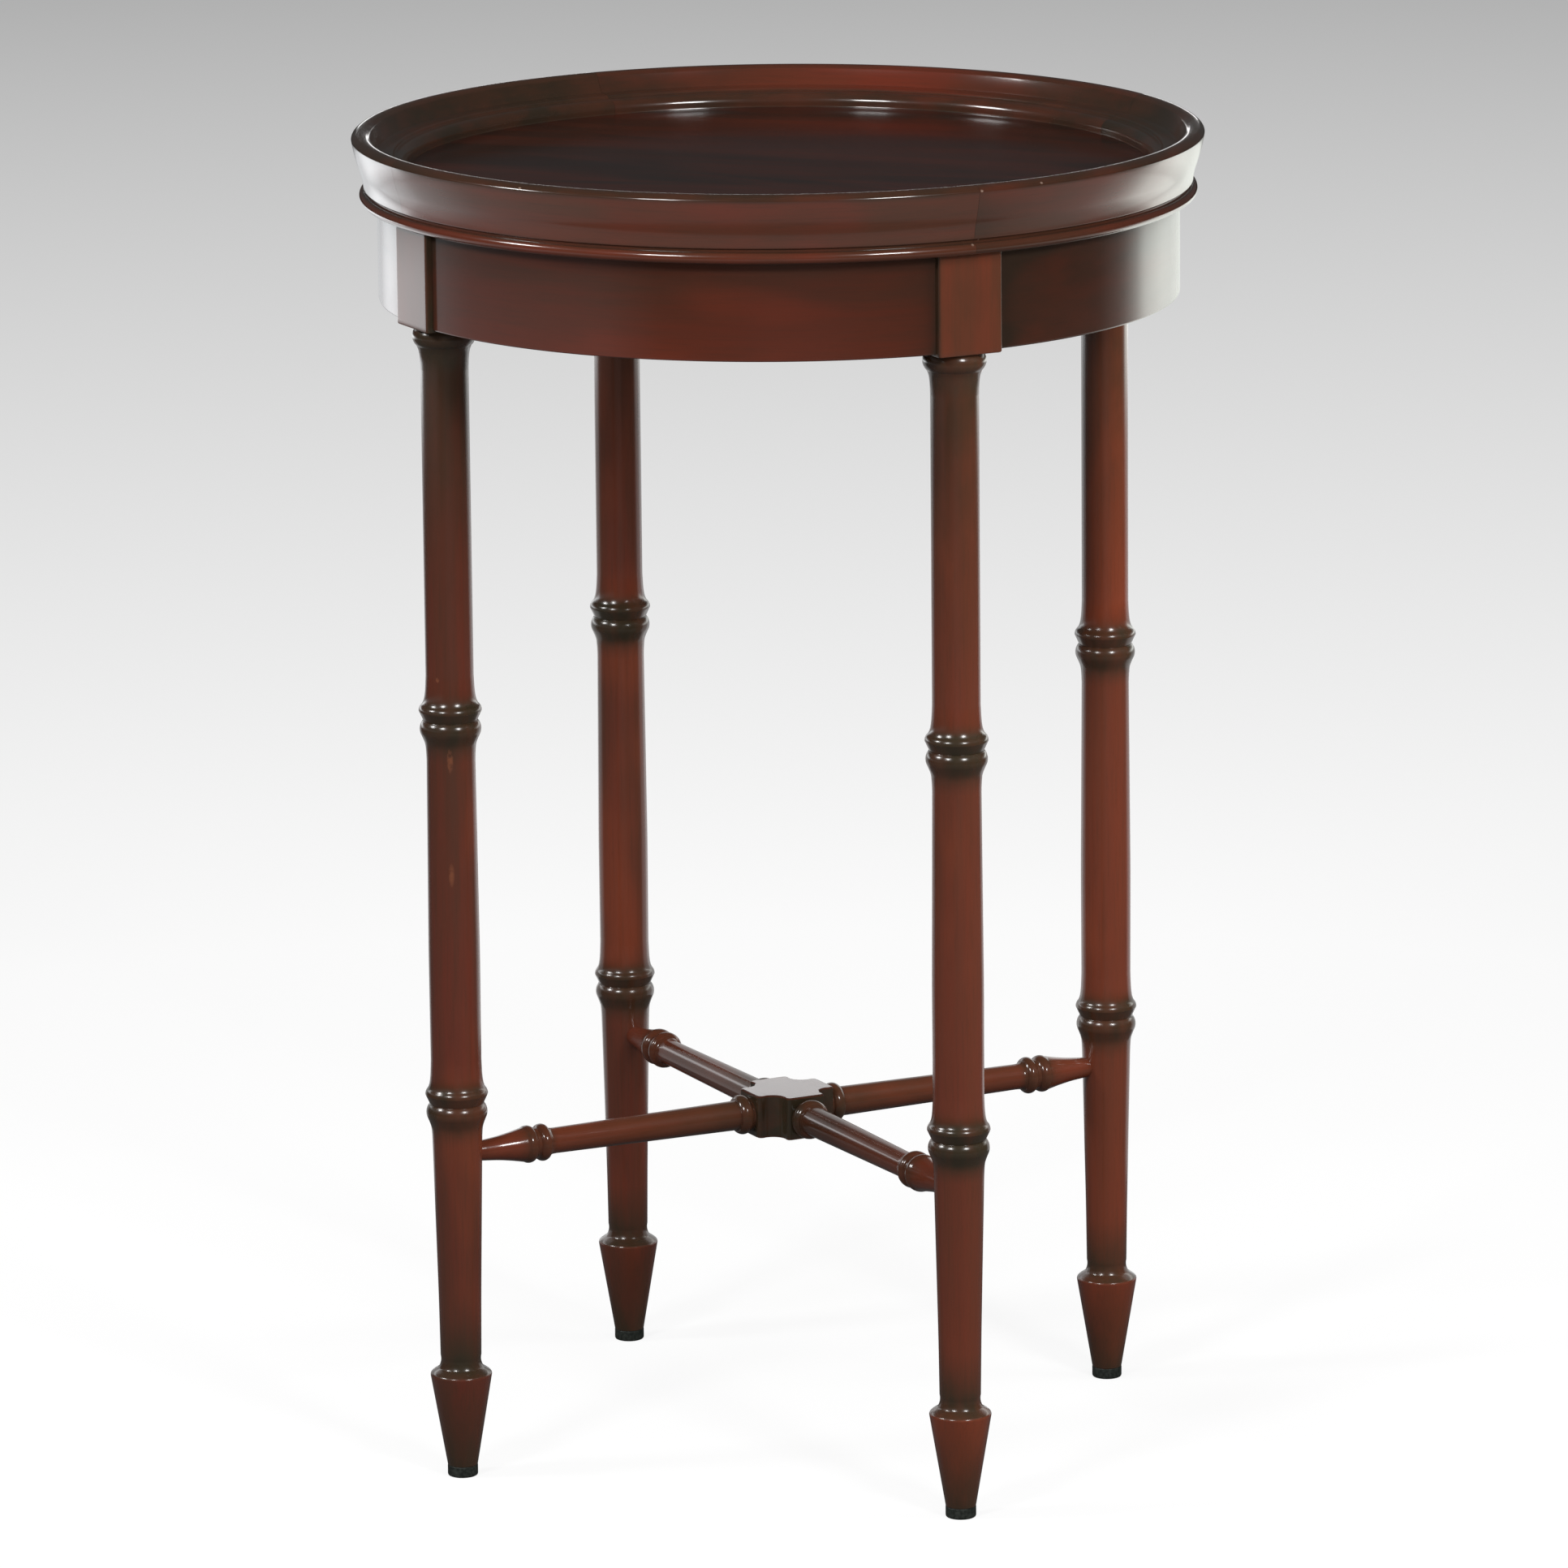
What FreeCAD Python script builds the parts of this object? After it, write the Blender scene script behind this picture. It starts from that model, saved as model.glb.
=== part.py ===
import FreeCAD, Part
import math
import os

# Round accent table with a tray top, four turned legs and a cross stretcher.
# Millimetres, +Z up. The origin is on the floor, under the middle of the tray.
# The four legs stand on the diagonals and the front of the table faces -Y.

# Sizes of the whole table
table_height = 660.0
leg_count = 4
rim_radius = 208.7
rim_width = 28.5
rim_height = 33.4
rim_overhang = 12.1
tray_depth = 18.3
apron_height = 48.0
apron_thickness = 16.0
leg_block_size = 34.0
leg_inset = 14.4
stretcher_height = 164.2

# Fits shared by all the joints
glue_gap = 0.1
drill_overrun = 6.0

# Radii, heights and angles that follow from the sizes above
tray_radius = rim_radius - rim_width
apron_radius = rim_radius - rim_overhang
leg_circle_radius = apron_radius - leg_inset
apron_top = table_height - rim_height
apron_bottom = apron_top - apron_height
tray_floor = table_height - tray_depth
FULL_TURN = 360.0
leg_step = FULL_TURN / leg_count
front_left_angle = FULL_TURN / 2 + leg_step / 2
leg_names = ["front_left", "front_right", "back_right", "back_left"]
side_names = ["front", "right", "back", "left"]

Z_AXIS = FreeCAD.Vector(0, 0, 1)
CENTRE = FreeCAD.Vector(0, 0, 0)
OUTWARD = FreeCAD.Vector(1, 0, 0)


def leg_angle(index):
    return front_left_angle + index * leg_step


def save(name, solids):
    shape = solids[0] if len(solids) == 1 else Part.makeCompound(solids)
    shape.exportStep("parts/" + name + ".step")
    for solid in solids:
        if not solid.isValid() or solid.Volume <= 0:
            print("bad solid in", name)


class Outline:
    """A closed section drawn in the plane of radius and height."""

    def __init__(self, radius, height):
        self.start = FreeCAD.Vector(radius, 0, height)
        self.at = self.start
        self.edges = []

    def line(self, radius, height):
        end = FreeCAD.Vector(radius, 0, height)
        self.edges.append(Part.makeLine(self.at, end))
        self.at = end

    def bow(self, radius, height, rise):
        """An arc that leaves the chord by rise, to the right of the way drawn."""
        end = FreeCAD.Vector(radius, 0, height)
        chord = end - self.at
        side = FreeCAD.Vector(chord.z, 0, -chord.x).normalize()
        crown = self.at + chord * 0.5 + side * rise
        self.edges.append(Part.Arc(self.at, crown, end).toShape())
        self.at = end

    def sweep(self, radius, height, shares):
        """A smooth curve through shares of the way in radius and in height."""
        first = self.at
        points = [first]
        for out_share, up_share in shares:
            points.append(FreeCAD.Vector(first.x + (radius - first.x) * out_share, 0,
                                         first.z + (height - first.z) * up_share))
        points.append(FreeCAD.Vector(radius, 0, height))
        curve = Part.BSplineCurve()
        curve.interpolate(points)
        self.edges.append(curve.toShape())
        self.at = points[-1]

    def turned(self, degrees=FULL_TURN):
        if self.at.distanceToPoint(self.start) > 0:
            self.edges.append(Part.makeLine(self.at, self.start))
        face = Part.Face(Part.Wire(self.edges))
        return face.revolve(CENTRE, Z_AXIS, degrees)


def rod(radius, start, end):
    """A round bar or a drilled hole from one point to another."""
    way = end - start
    return Part.makeCylinder(radius, way.Length, start, way)


def box(low, high):
    size = high - low
    return Part.makeBox(size.x, size.y, size.z, low)


def stood_at_leg(shape, index):
    """Turns a shape drawn for a leg on +X to its own corner."""
    placed = shape.copy()
    placed.rotate(CENTRE, Z_AXIS, leg_angle(index))
    return placed


def laid_along(shape, start, direction):
    """Lays a shape that was turned about +Z along another direction."""
    placed = shape.copy()
    turn = FreeCAD.Rotation(Z_AXIS, direction)
    placed.Placement = FreeCAD.Placement(start, turn)
    return placed


# Foot glides and the nails that hold them
glide_height = 5.5
glide_radius = 7.5
glide_edge = 1.2
nail_head_radius = 3.2
nail_head_thickness = 1.0
nail_head_recess = 1.4
nail_radius = 1.2
nail_length = 20.0
nail_point = 3.0
nail_shank_bottom = nail_head_recess + nail_head_thickness
nail_tip = nail_shank_bottom + nail_length


def foot_glide():
    outline = Outline(nail_head_radius + glue_gap, 0)
    outline.line(glide_radius - glide_edge, 0)
    outline.line(glide_radius, glide_edge)
    outline.line(glide_radius, glide_height)
    outline.line(nail_radius + glue_gap, glide_height)
    outline.line(nail_radius + glue_gap, nail_shank_bottom)
    outline.line(nail_head_radius + glue_gap, nail_shank_bottom)
    return outline.turned()


def glide_nail():
    outline = Outline(0, nail_head_recess)
    outline.line(nail_head_radius, nail_head_recess)
    outline.line(nail_head_radius, nail_shank_bottom)
    outline.line(nail_radius, nail_shank_bottom)
    outline.line(nail_radius, nail_tip - nail_point)
    outline.line(0, nail_tip)
    return outline.turned()


# Legs, turned from square blanks, with two bamboo nodes and a cone foot
foot_tip_radius = 7.4
foot_radius = 15.3
foot_top = 53.8
foot_edge = 1.3
ankle_slope_height = 1.7
ankle_slope_radius = 11.2
ankle_radius = 10.1
ankle_height = 8.2
ankle_hollow = 0.7
waist_radius = 10.5
waist_height = 92.0

lower_node_top = 197.5
upper_node_top = 390.2
ring_radius = 15.4
ring_edge = 0.9
ring_height = 7.6
valley_radius = 13.1
bead_shoulder_radius = 14.3
bead_radius = 15.0
bead_bottom_drop = 14.6
sweep_drop = 27.5
ledge_radius = 13.3
flare_height = 15.0

lower_shaft_radius = 12.2
middle_shaft_radius = 12.45
middle_swell_radius = 12.6
middle_top_radius = 11.9
upper_shaft_radius = 11.7
node_sweep_shares = [(0.09, 0.38), (0.30, 0.68)]
flare_shares = [(0.52, 0.24), (0.86, 0.60)]

collar_radius = 15.4
collar_height = 9.2
collar_edge_radius = 13.4
collar_sweep_height = 12.0
collar_sweep_shares = [(0.12, 0.45), (0.42, 0.78)]

block_drop = 1.2
block_bottom = apron_bottom - block_drop
block_half = leg_block_size / 2


def bamboo_node(outline, node_top, radius_below, radius_above):
    """Adds the two rings of a node to a leg outline that comes up from below."""
    sweep_bottom = node_top - sweep_drop
    bead_bottom = node_top - bead_bottom_drop
    outline.line(radius_below, sweep_bottom)
    outline.sweep(bead_shoulder_radius, bead_bottom, node_sweep_shares)
    outline.bow(bead_shoulder_radius, node_top - ring_height, bead_radius - bead_shoulder_radius)
    outline.line(valley_radius, node_top - ring_height)
    outline.line(ring_radius, node_top - ring_edge)
    outline.line(ring_radius - ring_edge, node_top)
    outline.line(ledge_radius, node_top)
    outline.sweep(radius_above, node_top + flare_height, flare_shares)


def turned_leg():
    """The turned length of a leg, about its own axis."""
    ankle_top = foot_top + ankle_height
    slope_top = foot_top + ankle_slope_height
    collar_bottom = block_bottom - collar_height
    outline = Outline(0, glide_height)
    outline.line(foot_tip_radius, glide_height)
    outline.line(foot_radius, foot_top - foot_edge)
    outline.line(foot_radius - foot_edge, foot_top)
    outline.line(ankle_slope_radius, slope_top)
    outline.bow(ankle_radius, ankle_top, -ankle_hollow)
    outline.line(waist_radius, waist_height)
    bamboo_node(outline, lower_node_top, lower_shaft_radius, middle_shaft_radius)
    swell_height = (lower_node_top + upper_node_top) / 2 - sweep_drop
    outline.line(middle_swell_radius, swell_height)
    bamboo_node(outline, upper_node_top, middle_top_radius, upper_shaft_radius)
    outline.line(upper_shaft_radius, collar_bottom - collar_sweep_height)
    outline.sweep(collar_edge_radius, collar_bottom, collar_sweep_shares)
    outline.bow(collar_edge_radius, block_bottom, collar_radius - collar_edge_radius)
    outline.line(collar_edge_radius, block_bottom + collar_height)
    outline.line(0, block_bottom + collar_height)
    return outline.turned()


# Dowels that join the apron to the leg blocks
dowel_radius = 4.0
dowel_in_block = 13.0
dowel_in_apron = 15.0
dowel_end_room = 0.5
dowel_outset = 5.3
dowel_circle_radius = leg_circle_radius + dowel_outset
dowel_spacing = 26.0
dowel_pair_height = (apron_top + apron_bottom) / 2
dowel_heights = [dowel_pair_height - dowel_spacing / 2, dowel_pair_height + dowel_spacing / 2]

# Corner blocks inside the apron, with a hanger bolt into each leg
corner_block_height = 32.0
corner_block_wing = 31.0
corner_block_half_length = block_half + corner_block_wing
corner_block_back = 18.0
block_inner_face = leg_circle_radius - block_half
corner_block_inner_face = block_inner_face - glue_gap - corner_block_back
corner_block_bottom = apron_top - corner_block_height
apron_inner_radius = apron_radius - apron_thickness

bolt_radius = 3.0
bolt_in_leg = 20.0
bolt_point = 3.0
bolt_beyond_nut = 3.0
bolt_height = dowel_pair_height
BOLT_LINE = FreeCAD.Vector(0, 0, bolt_height)
washer_radius = 8.0
washer_thickness = 1.4
nut_sides = 6
nut_half_width = 5.0
nut_thickness = 5.0
washer_face = corner_block_inner_face - washer_thickness
nut_face = washer_face - nut_thickness

screw_radius = 2.0
screw_head_radius = 4.0
screw_head_depth = 2.6
screw_point = 4.0
side_screw_length = 40.0
side_screw_outset = 17.0
side_screw_offset = block_half + side_screw_outset
top_screw_length = 38.0
top_screw_outset = 6.0
top_screw_offset = block_half + top_screw_outset
top_screw_circle_radius = block_inner_face - corner_block_back / 2

# Stretcher: a shaped hub with four turned spindles
hub_half = 21.5
hub_height = 21.6
hub_face_half = 11.0
hub_edge = 0.8
hub_scoop_reach = 17.5

spindle_tenon_radius = 5.0
leg_tenon_stop = 3.5
hub_tenon_radius = 4.5
hub_tenon_length = 12.0
spindle_neck_radius = 5.1
spindle_neck_place = 13.0
spindle_swell_radius = 9.2
spindle_trumpet_shares = [(0.25, 0.38), (0.59, 0.70)]
spindle_swell_start = 36.8
spindle_swell_end = 41.2
spindle_swell_bulge = 0.6
spindle_valley_radius = 7.6
spindle_valley_place = 42.8
spindle_bead_radius = 9.3
spindle_bead_end = 48.6
spindle_collar_radius = 7.4
spindle_shaft_start = 53.0
spindle_shaft_radius = 6.4
spindle_shaft_end_radius = 7.4
hub_bead_radius = 9.9
hub_bead_root_radius = 8.3
hub_bead_width = 6.4
hub_quirk_width = 1.0
bead_fall_shares = [(0.62, 0.25), (0.90, 0.60)]


def spindle():
    """A spindle about +Z, with zero height on the axis of its leg."""
    hub_face = leg_circle_radius - hub_half
    bead_start = hub_face - hub_quirk_width - hub_bead_width
    outline = Outline(0, leg_tenon_stop)
    outline.line(spindle_tenon_radius, leg_tenon_stop)
    outline.line(spindle_tenon_radius, lower_shaft_radius - glue_gap)
    outline.line(spindle_neck_radius, spindle_neck_place)
    outline.sweep(spindle_swell_radius, spindle_swell_start, spindle_trumpet_shares)
    outline.bow(spindle_valley_radius, spindle_swell_end, spindle_swell_bulge)
    outline.line(spindle_valley_radius, spindle_valley_place)
    outline.bow(spindle_valley_radius, spindle_bead_end,
                spindle_bead_radius - spindle_valley_radius)
    outline.line(spindle_collar_radius, spindle_bead_end)
    outline.sweep(spindle_shaft_radius, spindle_shaft_start, bead_fall_shares)
    outline.line(spindle_shaft_end_radius, bead_start)
    outline.line(hub_bead_root_radius, bead_start)
    outline.bow(hub_bead_root_radius, bead_start + hub_bead_width,
                hub_bead_radius - hub_bead_root_radius)
    outline.line(hub_bead_root_radius, hub_face)
    outline.line(hub_tenon_radius, hub_face)
    outline.line(hub_tenon_radius, hub_face + hub_tenon_length)
    outline.line(0, hub_face + hub_tenon_length)
    return outline.turned()


def hub_outline():
    """The plan of the hub: four flat faces with a deep scoop at each corner."""
    scoop = hub_scoop_reach / math.sqrt(2)
    edges = []
    for index in range(leg_count):
        turn = FreeCAD.Rotation(Z_AXIS, index * leg_step)
        face_start = turn.multVec(FreeCAD.Vector(hub_half, -hub_face_half, -hub_height / 2))
        face_end = turn.multVec(FreeCAD.Vector(hub_half, hub_face_half, -hub_height / 2))
        scoop_bottom = turn.multVec(FreeCAD.Vector(scoop, scoop, -hub_height / 2))
        next_start = turn.multVec(FreeCAD.Vector(hub_face_half, hub_half, -hub_height / 2))
        edges.append(Part.makeLine(face_start, face_end))
        edges.append(Part.Arc(face_end, scoop_bottom, next_start).toShape())
    return Part.Face(Part.Wire(edges))


def stretcher_hub():
    block = hub_outline().extrude(FreeCAD.Vector(0, 0, hub_height))
    rims = [edge for edge in block.Edges
            if abs(edge.Vertexes[0].Z - edge.Vertexes[-1].Z) < glue_gap]
    block = block.makeChamfer(hub_edge, rims)
    for index in range(leg_count):
        mortise = rod(hub_tenon_radius + glue_gap,
                      FreeCAD.Vector(hub_half - hub_tenon_length - glue_gap, 0, 0),
                      FreeCAD.Vector(hub_half + drill_overrun, 0, 0))
        mortise.rotate(CENTRE, Z_AXIS, index * leg_step)
        block = block.cut(mortise)
    block.rotate(CENTRE, Z_AXIS, leg_angle(0))
    block.translate(FreeCAD.Vector(0, 0, stretcher_height))
    return block.removeSplitter()


def wood_screw(length):
    """A countersunk screw about +Z, with its head at zero height."""
    outline = Outline(0, 0)
    outline.line(screw_head_radius, 0)
    outline.line(screw_radius, screw_head_depth)
    outline.line(screw_radius, length - screw_point)
    outline.line(0, length)
    return outline.turned()


def screw_hole(length):
    """The countersunk hole that a wood screw fills, with its glue gap."""
    outline = Outline(0, -drill_overrun)
    outline.line(screw_head_radius + glue_gap, -drill_overrun)
    outline.line(screw_head_radius + glue_gap, 0)
    outline.line(screw_radius + glue_gap, screw_head_depth)
    outline.line(screw_radius + glue_gap, length - screw_point + glue_gap)
    outline.line(0, length + glue_gap)
    return outline.turned()


def hanger_bolt():
    outline = Outline(0, nut_face - bolt_beyond_nut)
    outline.line(bolt_radius, nut_face - bolt_beyond_nut)
    outline.line(bolt_radius, block_inner_face + bolt_in_leg - bolt_point)
    outline.line(0, block_inner_face + bolt_in_leg)
    return outline.turned()


def washer():
    outer = rod(washer_radius, FreeCAD.Vector(0, 0, washer_face),
                FreeCAD.Vector(0, 0, corner_block_inner_face))
    return outer.cut(bolt_bore())


def hex_nut():
    side_turn = 2 * math.pi / nut_sides
    corner_radius = nut_half_width / math.cos(side_turn / 2)
    corners = [FreeCAD.Vector(corner_radius * math.cos(corner * side_turn),
                              corner_radius * math.sin(corner * side_turn), nut_face)
               for corner in range(nut_sides)]
    face = Part.Face(Part.makePolygon(corners + corners[:1]))
    return face.extrude(FreeCAD.Vector(0, 0, nut_thickness)).cut(bolt_bore())


def bolt_bore():
    return rod(bolt_radius + glue_gap, FreeCAD.Vector(0, 0, nut_face - drill_overrun),
               FreeCAD.Vector(0, 0, block_inner_face + bolt_in_leg + glue_gap))


def side_screw_places():
    """Start points of the two screws from a corner block into the apron, leg on +X."""
    return [FreeCAD.Vector(corner_block_inner_face, side * side_screw_offset, bolt_height)
            for side in (-1, 1)]


def top_screw_places():
    """Start points of the two screws from a corner block up into the tray panel."""
    return [FreeCAD.Vector(top_screw_circle_radius, side * top_screw_offset, corner_block_bottom)
            for side in (-1, 1)]


def dowel_pair_rods(radius, end_room):
    """The four dowels of one leg block, or their holes, for a leg on +X."""
    rods = []
    for side in (-1, 1):
        for height in dowel_heights:
            inner = side * (block_half - dowel_in_block - end_room)
            outer = side * (block_half + dowel_in_apron + end_room)
            rods.append(rod(radius, FreeCAD.Vector(dowel_circle_radius, inner, height),
                            FreeCAD.Vector(dowel_circle_radius, outer, height)))
    return rods


def leg():
    """A whole leg on +X: turned length, square block and all its drilled holes."""
    axis = FreeCAD.Vector(leg_circle_radius, 0, 0)
    shaft = turned_leg()
    shaft.translate(axis)
    block = box(FreeCAD.Vector(leg_circle_radius - block_half, -block_half, block_bottom),
                FreeCAD.Vector(leg_circle_radius + block_half, block_half, apron_top))
    solid = shaft.fuse(block)
    nail_hole = rod(nail_radius + glue_gap, axis, axis + Z_AXIS * (nail_tip + glue_gap))
    tenon_hole = rod(spindle_tenon_radius + glue_gap,
                     FreeCAD.Vector(leg_circle_radius - leg_tenon_stop + glue_gap, 0, stretcher_height),
                     FreeCAD.Vector(leg_circle_radius - lower_shaft_radius - drill_overrun, 0,
                                    stretcher_height))
    holes = [nail_hole, tenon_hole, laid_along(bolt_bore(), BOLT_LINE, OUTWARD)]
    holes += dowel_pair_rods(dowel_radius + glue_gap, dowel_end_room)
    for hole in holes:
        solid = solid.cut(hole)
    return solid.removeSplitter()


def corner_block():
    """A corner block behind the leg on +X, fitted round the leg block."""
    block = box(FreeCAD.Vector(corner_block_inner_face, -corner_block_half_length, corner_block_bottom),
                FreeCAD.Vector(apron_inner_radius, corner_block_half_length, apron_top))
    inside_apron = Part.makeCylinder(apron_inner_radius - glue_gap, apron_height,
                                     FreeCAD.Vector(0, 0, apron_bottom))
    notch_half = block_half + glue_gap
    notch = box(FreeCAD.Vector(block_inner_face - glue_gap, -notch_half, apron_bottom),
                FreeCAD.Vector(apron_radius, notch_half, apron_top + drill_overrun))
    block = block.common(inside_apron).cut(notch)
    block = block.cut(laid_along(bolt_bore(), BOLT_LINE, OUTWARD))
    for place in side_screw_places():
        block = block.cut(laid_along(screw_hole(side_screw_length), place, OUTWARD))
    for place in top_screw_places():
        block = block.cut(laid_along(screw_hole(top_screw_length), place, Z_AXIS))
    return block


# Apron: four curved rails between the leg blocks
apron_edge = 0.8


def apron_segment():
    """The curved rail that runs from the leg on +X to the next leg."""
    outline = Outline(apron_inner_radius, apron_bottom)
    outline.line(apron_radius - apron_edge, apron_bottom)
    outline.line(apron_radius, apron_bottom + apron_edge)
    outline.line(apron_radius, apron_top)
    outline.line(apron_inner_radius, apron_top)
    rail = outline.turned(leg_step)
    reach = block_half + glue_gap
    for index in (0, 1):
        room = box(FreeCAD.Vector(0, -reach, apron_bottom - drill_overrun),
                   FreeCAD.Vector(apron_radius + drill_overrun, reach, apron_top + drill_overrun))
        cuts = [room] + dowel_pair_rods(dowel_radius + glue_gap, dowel_end_room)
        for place in side_screw_places():
            cuts.append(laid_along(screw_hole(side_screw_length), place, OUTWARD))
        for cut in cuts:
            cut.rotate(CENTRE, Z_AXIS, index * leg_step)
            rail = rail.cut(cut)
    return rail


# Tray panel and the moulded rim round it
panel_rebate = 6.8
rim_lip_height = 5.0
panel_radius = tray_radius + panel_rebate
rebate_height = tray_floor - rim_lip_height

rim_bead_inset = 5.6
rim_bead_height = 5.6
rim_bead_bulge = 2.1
quirk_depth = 1.0
quirk_width = 1.0
face_foot_rise = 1.7
face_turn_inset = 3.5
face_turn_rise = 16.6
face_hollow = 0.35
face_swell = 0.3
nose_inset = 0.7
nose_rise = 1.3
nose_bulge = 0.15
crest_width = 8.2
crest_swell = 1.6
cove_width = 4.3
cove_height = 7.7
cove_hollow = 1.0
shelf_width = 7.3
shelf_fall = 0.6
step_width = 1.2
step_fall = 1.3
step_shelf = 1.4
wall_bulge = 1.4
wall_foot_out = 0.3
wall_foot_rise = 0.6

rim_dowel_radius = 3.0
rim_dowel_length = 30.0
rim_dowel_inset = 13.7
rim_dowel_circle_radius = rim_radius - rim_dowel_inset
rim_dowel_rise = 10.0
rim_dowel_height = apron_top + rim_dowel_rise


def rim_outline():
    """The moulded section of the rim, with a lip that sits in the tray panel's rebate."""
    rabbet_radius = panel_radius + glue_gap
    root_radius = rim_radius - rim_bead_inset
    crest_edge_height = table_height - crest_swell
    crest_inner_radius = rim_radius - nose_inset - crest_width
    shelf_radius = crest_inner_radius - cove_width
    shelf_height = crest_edge_height - cove_height
    step_radius = shelf_radius - shelf_width
    step_height = shelf_height - shelf_fall
    wall_top_radius = step_radius - step_width - step_shelf
    wall_top_height = step_height - step_fall
    quirk_bottom = apron_top + rim_bead_height
    outline = Outline(rabbet_radius, apron_top)
    outline.line(root_radius, apron_top)
    outline.bow(root_radius, quirk_bottom, rim_bead_bulge)
    outline.line(root_radius - quirk_depth, quirk_bottom)
    outline.line(root_radius - quirk_depth, quirk_bottom + quirk_width)
    outline.line(root_radius, quirk_bottom + face_foot_rise)
    outline.bow(rim_radius - face_turn_inset, apron_top + face_turn_rise, -face_hollow)
    outline.bow(rim_radius, crest_edge_height - nose_rise, face_swell)
    outline.bow(rim_radius - nose_inset, crest_edge_height, nose_bulge)
    outline.bow(crest_inner_radius, crest_edge_height, crest_swell)
    outline.bow(shelf_radius, shelf_height, -cove_hollow)
    outline.line(step_radius, step_height)
    outline.line(step_radius - step_width, wall_top_height)
    outline.line(wall_top_radius, wall_top_height)
    outline.bow(tray_radius + wall_foot_out, tray_floor + wall_foot_rise, wall_bulge)
    outline.line(tray_radius, tray_floor)
    outline.line(tray_radius, rebate_height)
    outline.line(rabbet_radius, rebate_height)
    return outline


def rim_dowel(radius, end_room):
    """A dowel across the rim joint on +X, or its hole."""
    half = rim_dowel_length / 2 + end_room
    return rod(radius, FreeCAD.Vector(rim_dowel_circle_radius, -half, rim_dowel_height),
               FreeCAD.Vector(rim_dowel_circle_radius, half, rim_dowel_height))


def rim_segment():
    """A quarter of the rim, from the joint on +X to the next joint."""
    gap_degrees = math.degrees(glue_gap / rim_radius)
    quarter = rim_outline().turned(leg_step - gap_degrees)
    for index in (0, 1):
        hole = rim_dowel(rim_dowel_radius + glue_gap, dowel_end_room)
        hole.rotate(CENTRE, Z_AXIS, index * leg_step)
        quarter = quarter.cut(hole)
    return quarter


def tray_panel():
    """A round board, rebated at the edge for the lip of the rim."""
    outline = Outline(0, apron_top)
    outline.line(panel_radius, apron_top)
    outline.line(panel_radius, rebate_height)
    outline.line(tray_radius - glue_gap, rebate_height)
    outline.line(tray_radius - glue_gap, tray_floor)
    outline.line(0, tray_floor)
    panel = outline.turned()
    for place in top_screw_places():
        hole = laid_along(screw_hole(top_screw_length), place, Z_AXIS)
        for index in range(leg_count):
            panel = panel.cut(stood_at_leg(hole, index))
    return panel


def at_each_leg(shapes):
    return [stood_at_leg(shape, index) for index in range(leg_count) for shape in shapes]


os.makedirs("parts", exist_ok=True)

one_leg = leg()
one_glide = foot_glide()
one_glide.translate(FreeCAD.Vector(leg_circle_radius, 0, 0))
one_nail = glide_nail()
one_nail.translate(FreeCAD.Vector(leg_circle_radius, 0, 0))
one_spindle = laid_along(spindle(), FreeCAD.Vector(leg_circle_radius, 0, stretcher_height), OUTWARD * -1)
one_corner_block = corner_block()
one_apron_segment = apron_segment()
one_rim_segment = rim_segment()

for index, name in enumerate(leg_names):
    save("leg_" + name, [stood_at_leg(one_leg, index)])
    save("foot_glide_" + name, [stood_at_leg(one_glide, index)])
    save("corner_block_" + name, [stood_at_leg(one_corner_block, index)])
    save("stretcher_spindle_" + name, [stood_at_leg(one_spindle, index)])
for index, name in enumerate(side_names):
    save("apron_segment_" + name, [stood_at_leg(one_apron_segment, index)])
    save("rim_segment_" + name, [stood_at_leg(one_rim_segment, index)])

save("stretcher_hub", [stretcher_hub()])
save("tray_panel", [tray_panel()])
save("glide_nails", at_each_leg([one_nail]))
save("apron_dowels", at_each_leg(dowel_pair_rods(dowel_radius, 0)))
save("rim_dowels", at_each_leg([rim_dowel(rim_dowel_radius, 0)]))
save("hanger_bolts", at_each_leg([laid_along(hanger_bolt(), BOLT_LINE, OUTWARD)]))
save("hanger_bolt_washers", at_each_leg([laid_along(washer(), BOLT_LINE, OUTWARD)]))
save("hanger_bolt_nuts", at_each_leg([laid_along(hex_nut(), BOLT_LINE, OUTWARD)]))
save("corner_block_screws", at_each_leg([laid_along(wood_screw(side_screw_length), place, OUTWARD)
                                         for place in side_screw_places()]))
save("top_screws", at_each_leg([laid_along(wood_screw(top_screw_length), place, Z_AXIS)
                                for place in top_screw_places()]))
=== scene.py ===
import math

import bmesh
import bpy
from mathutils import Matrix, Vector


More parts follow.
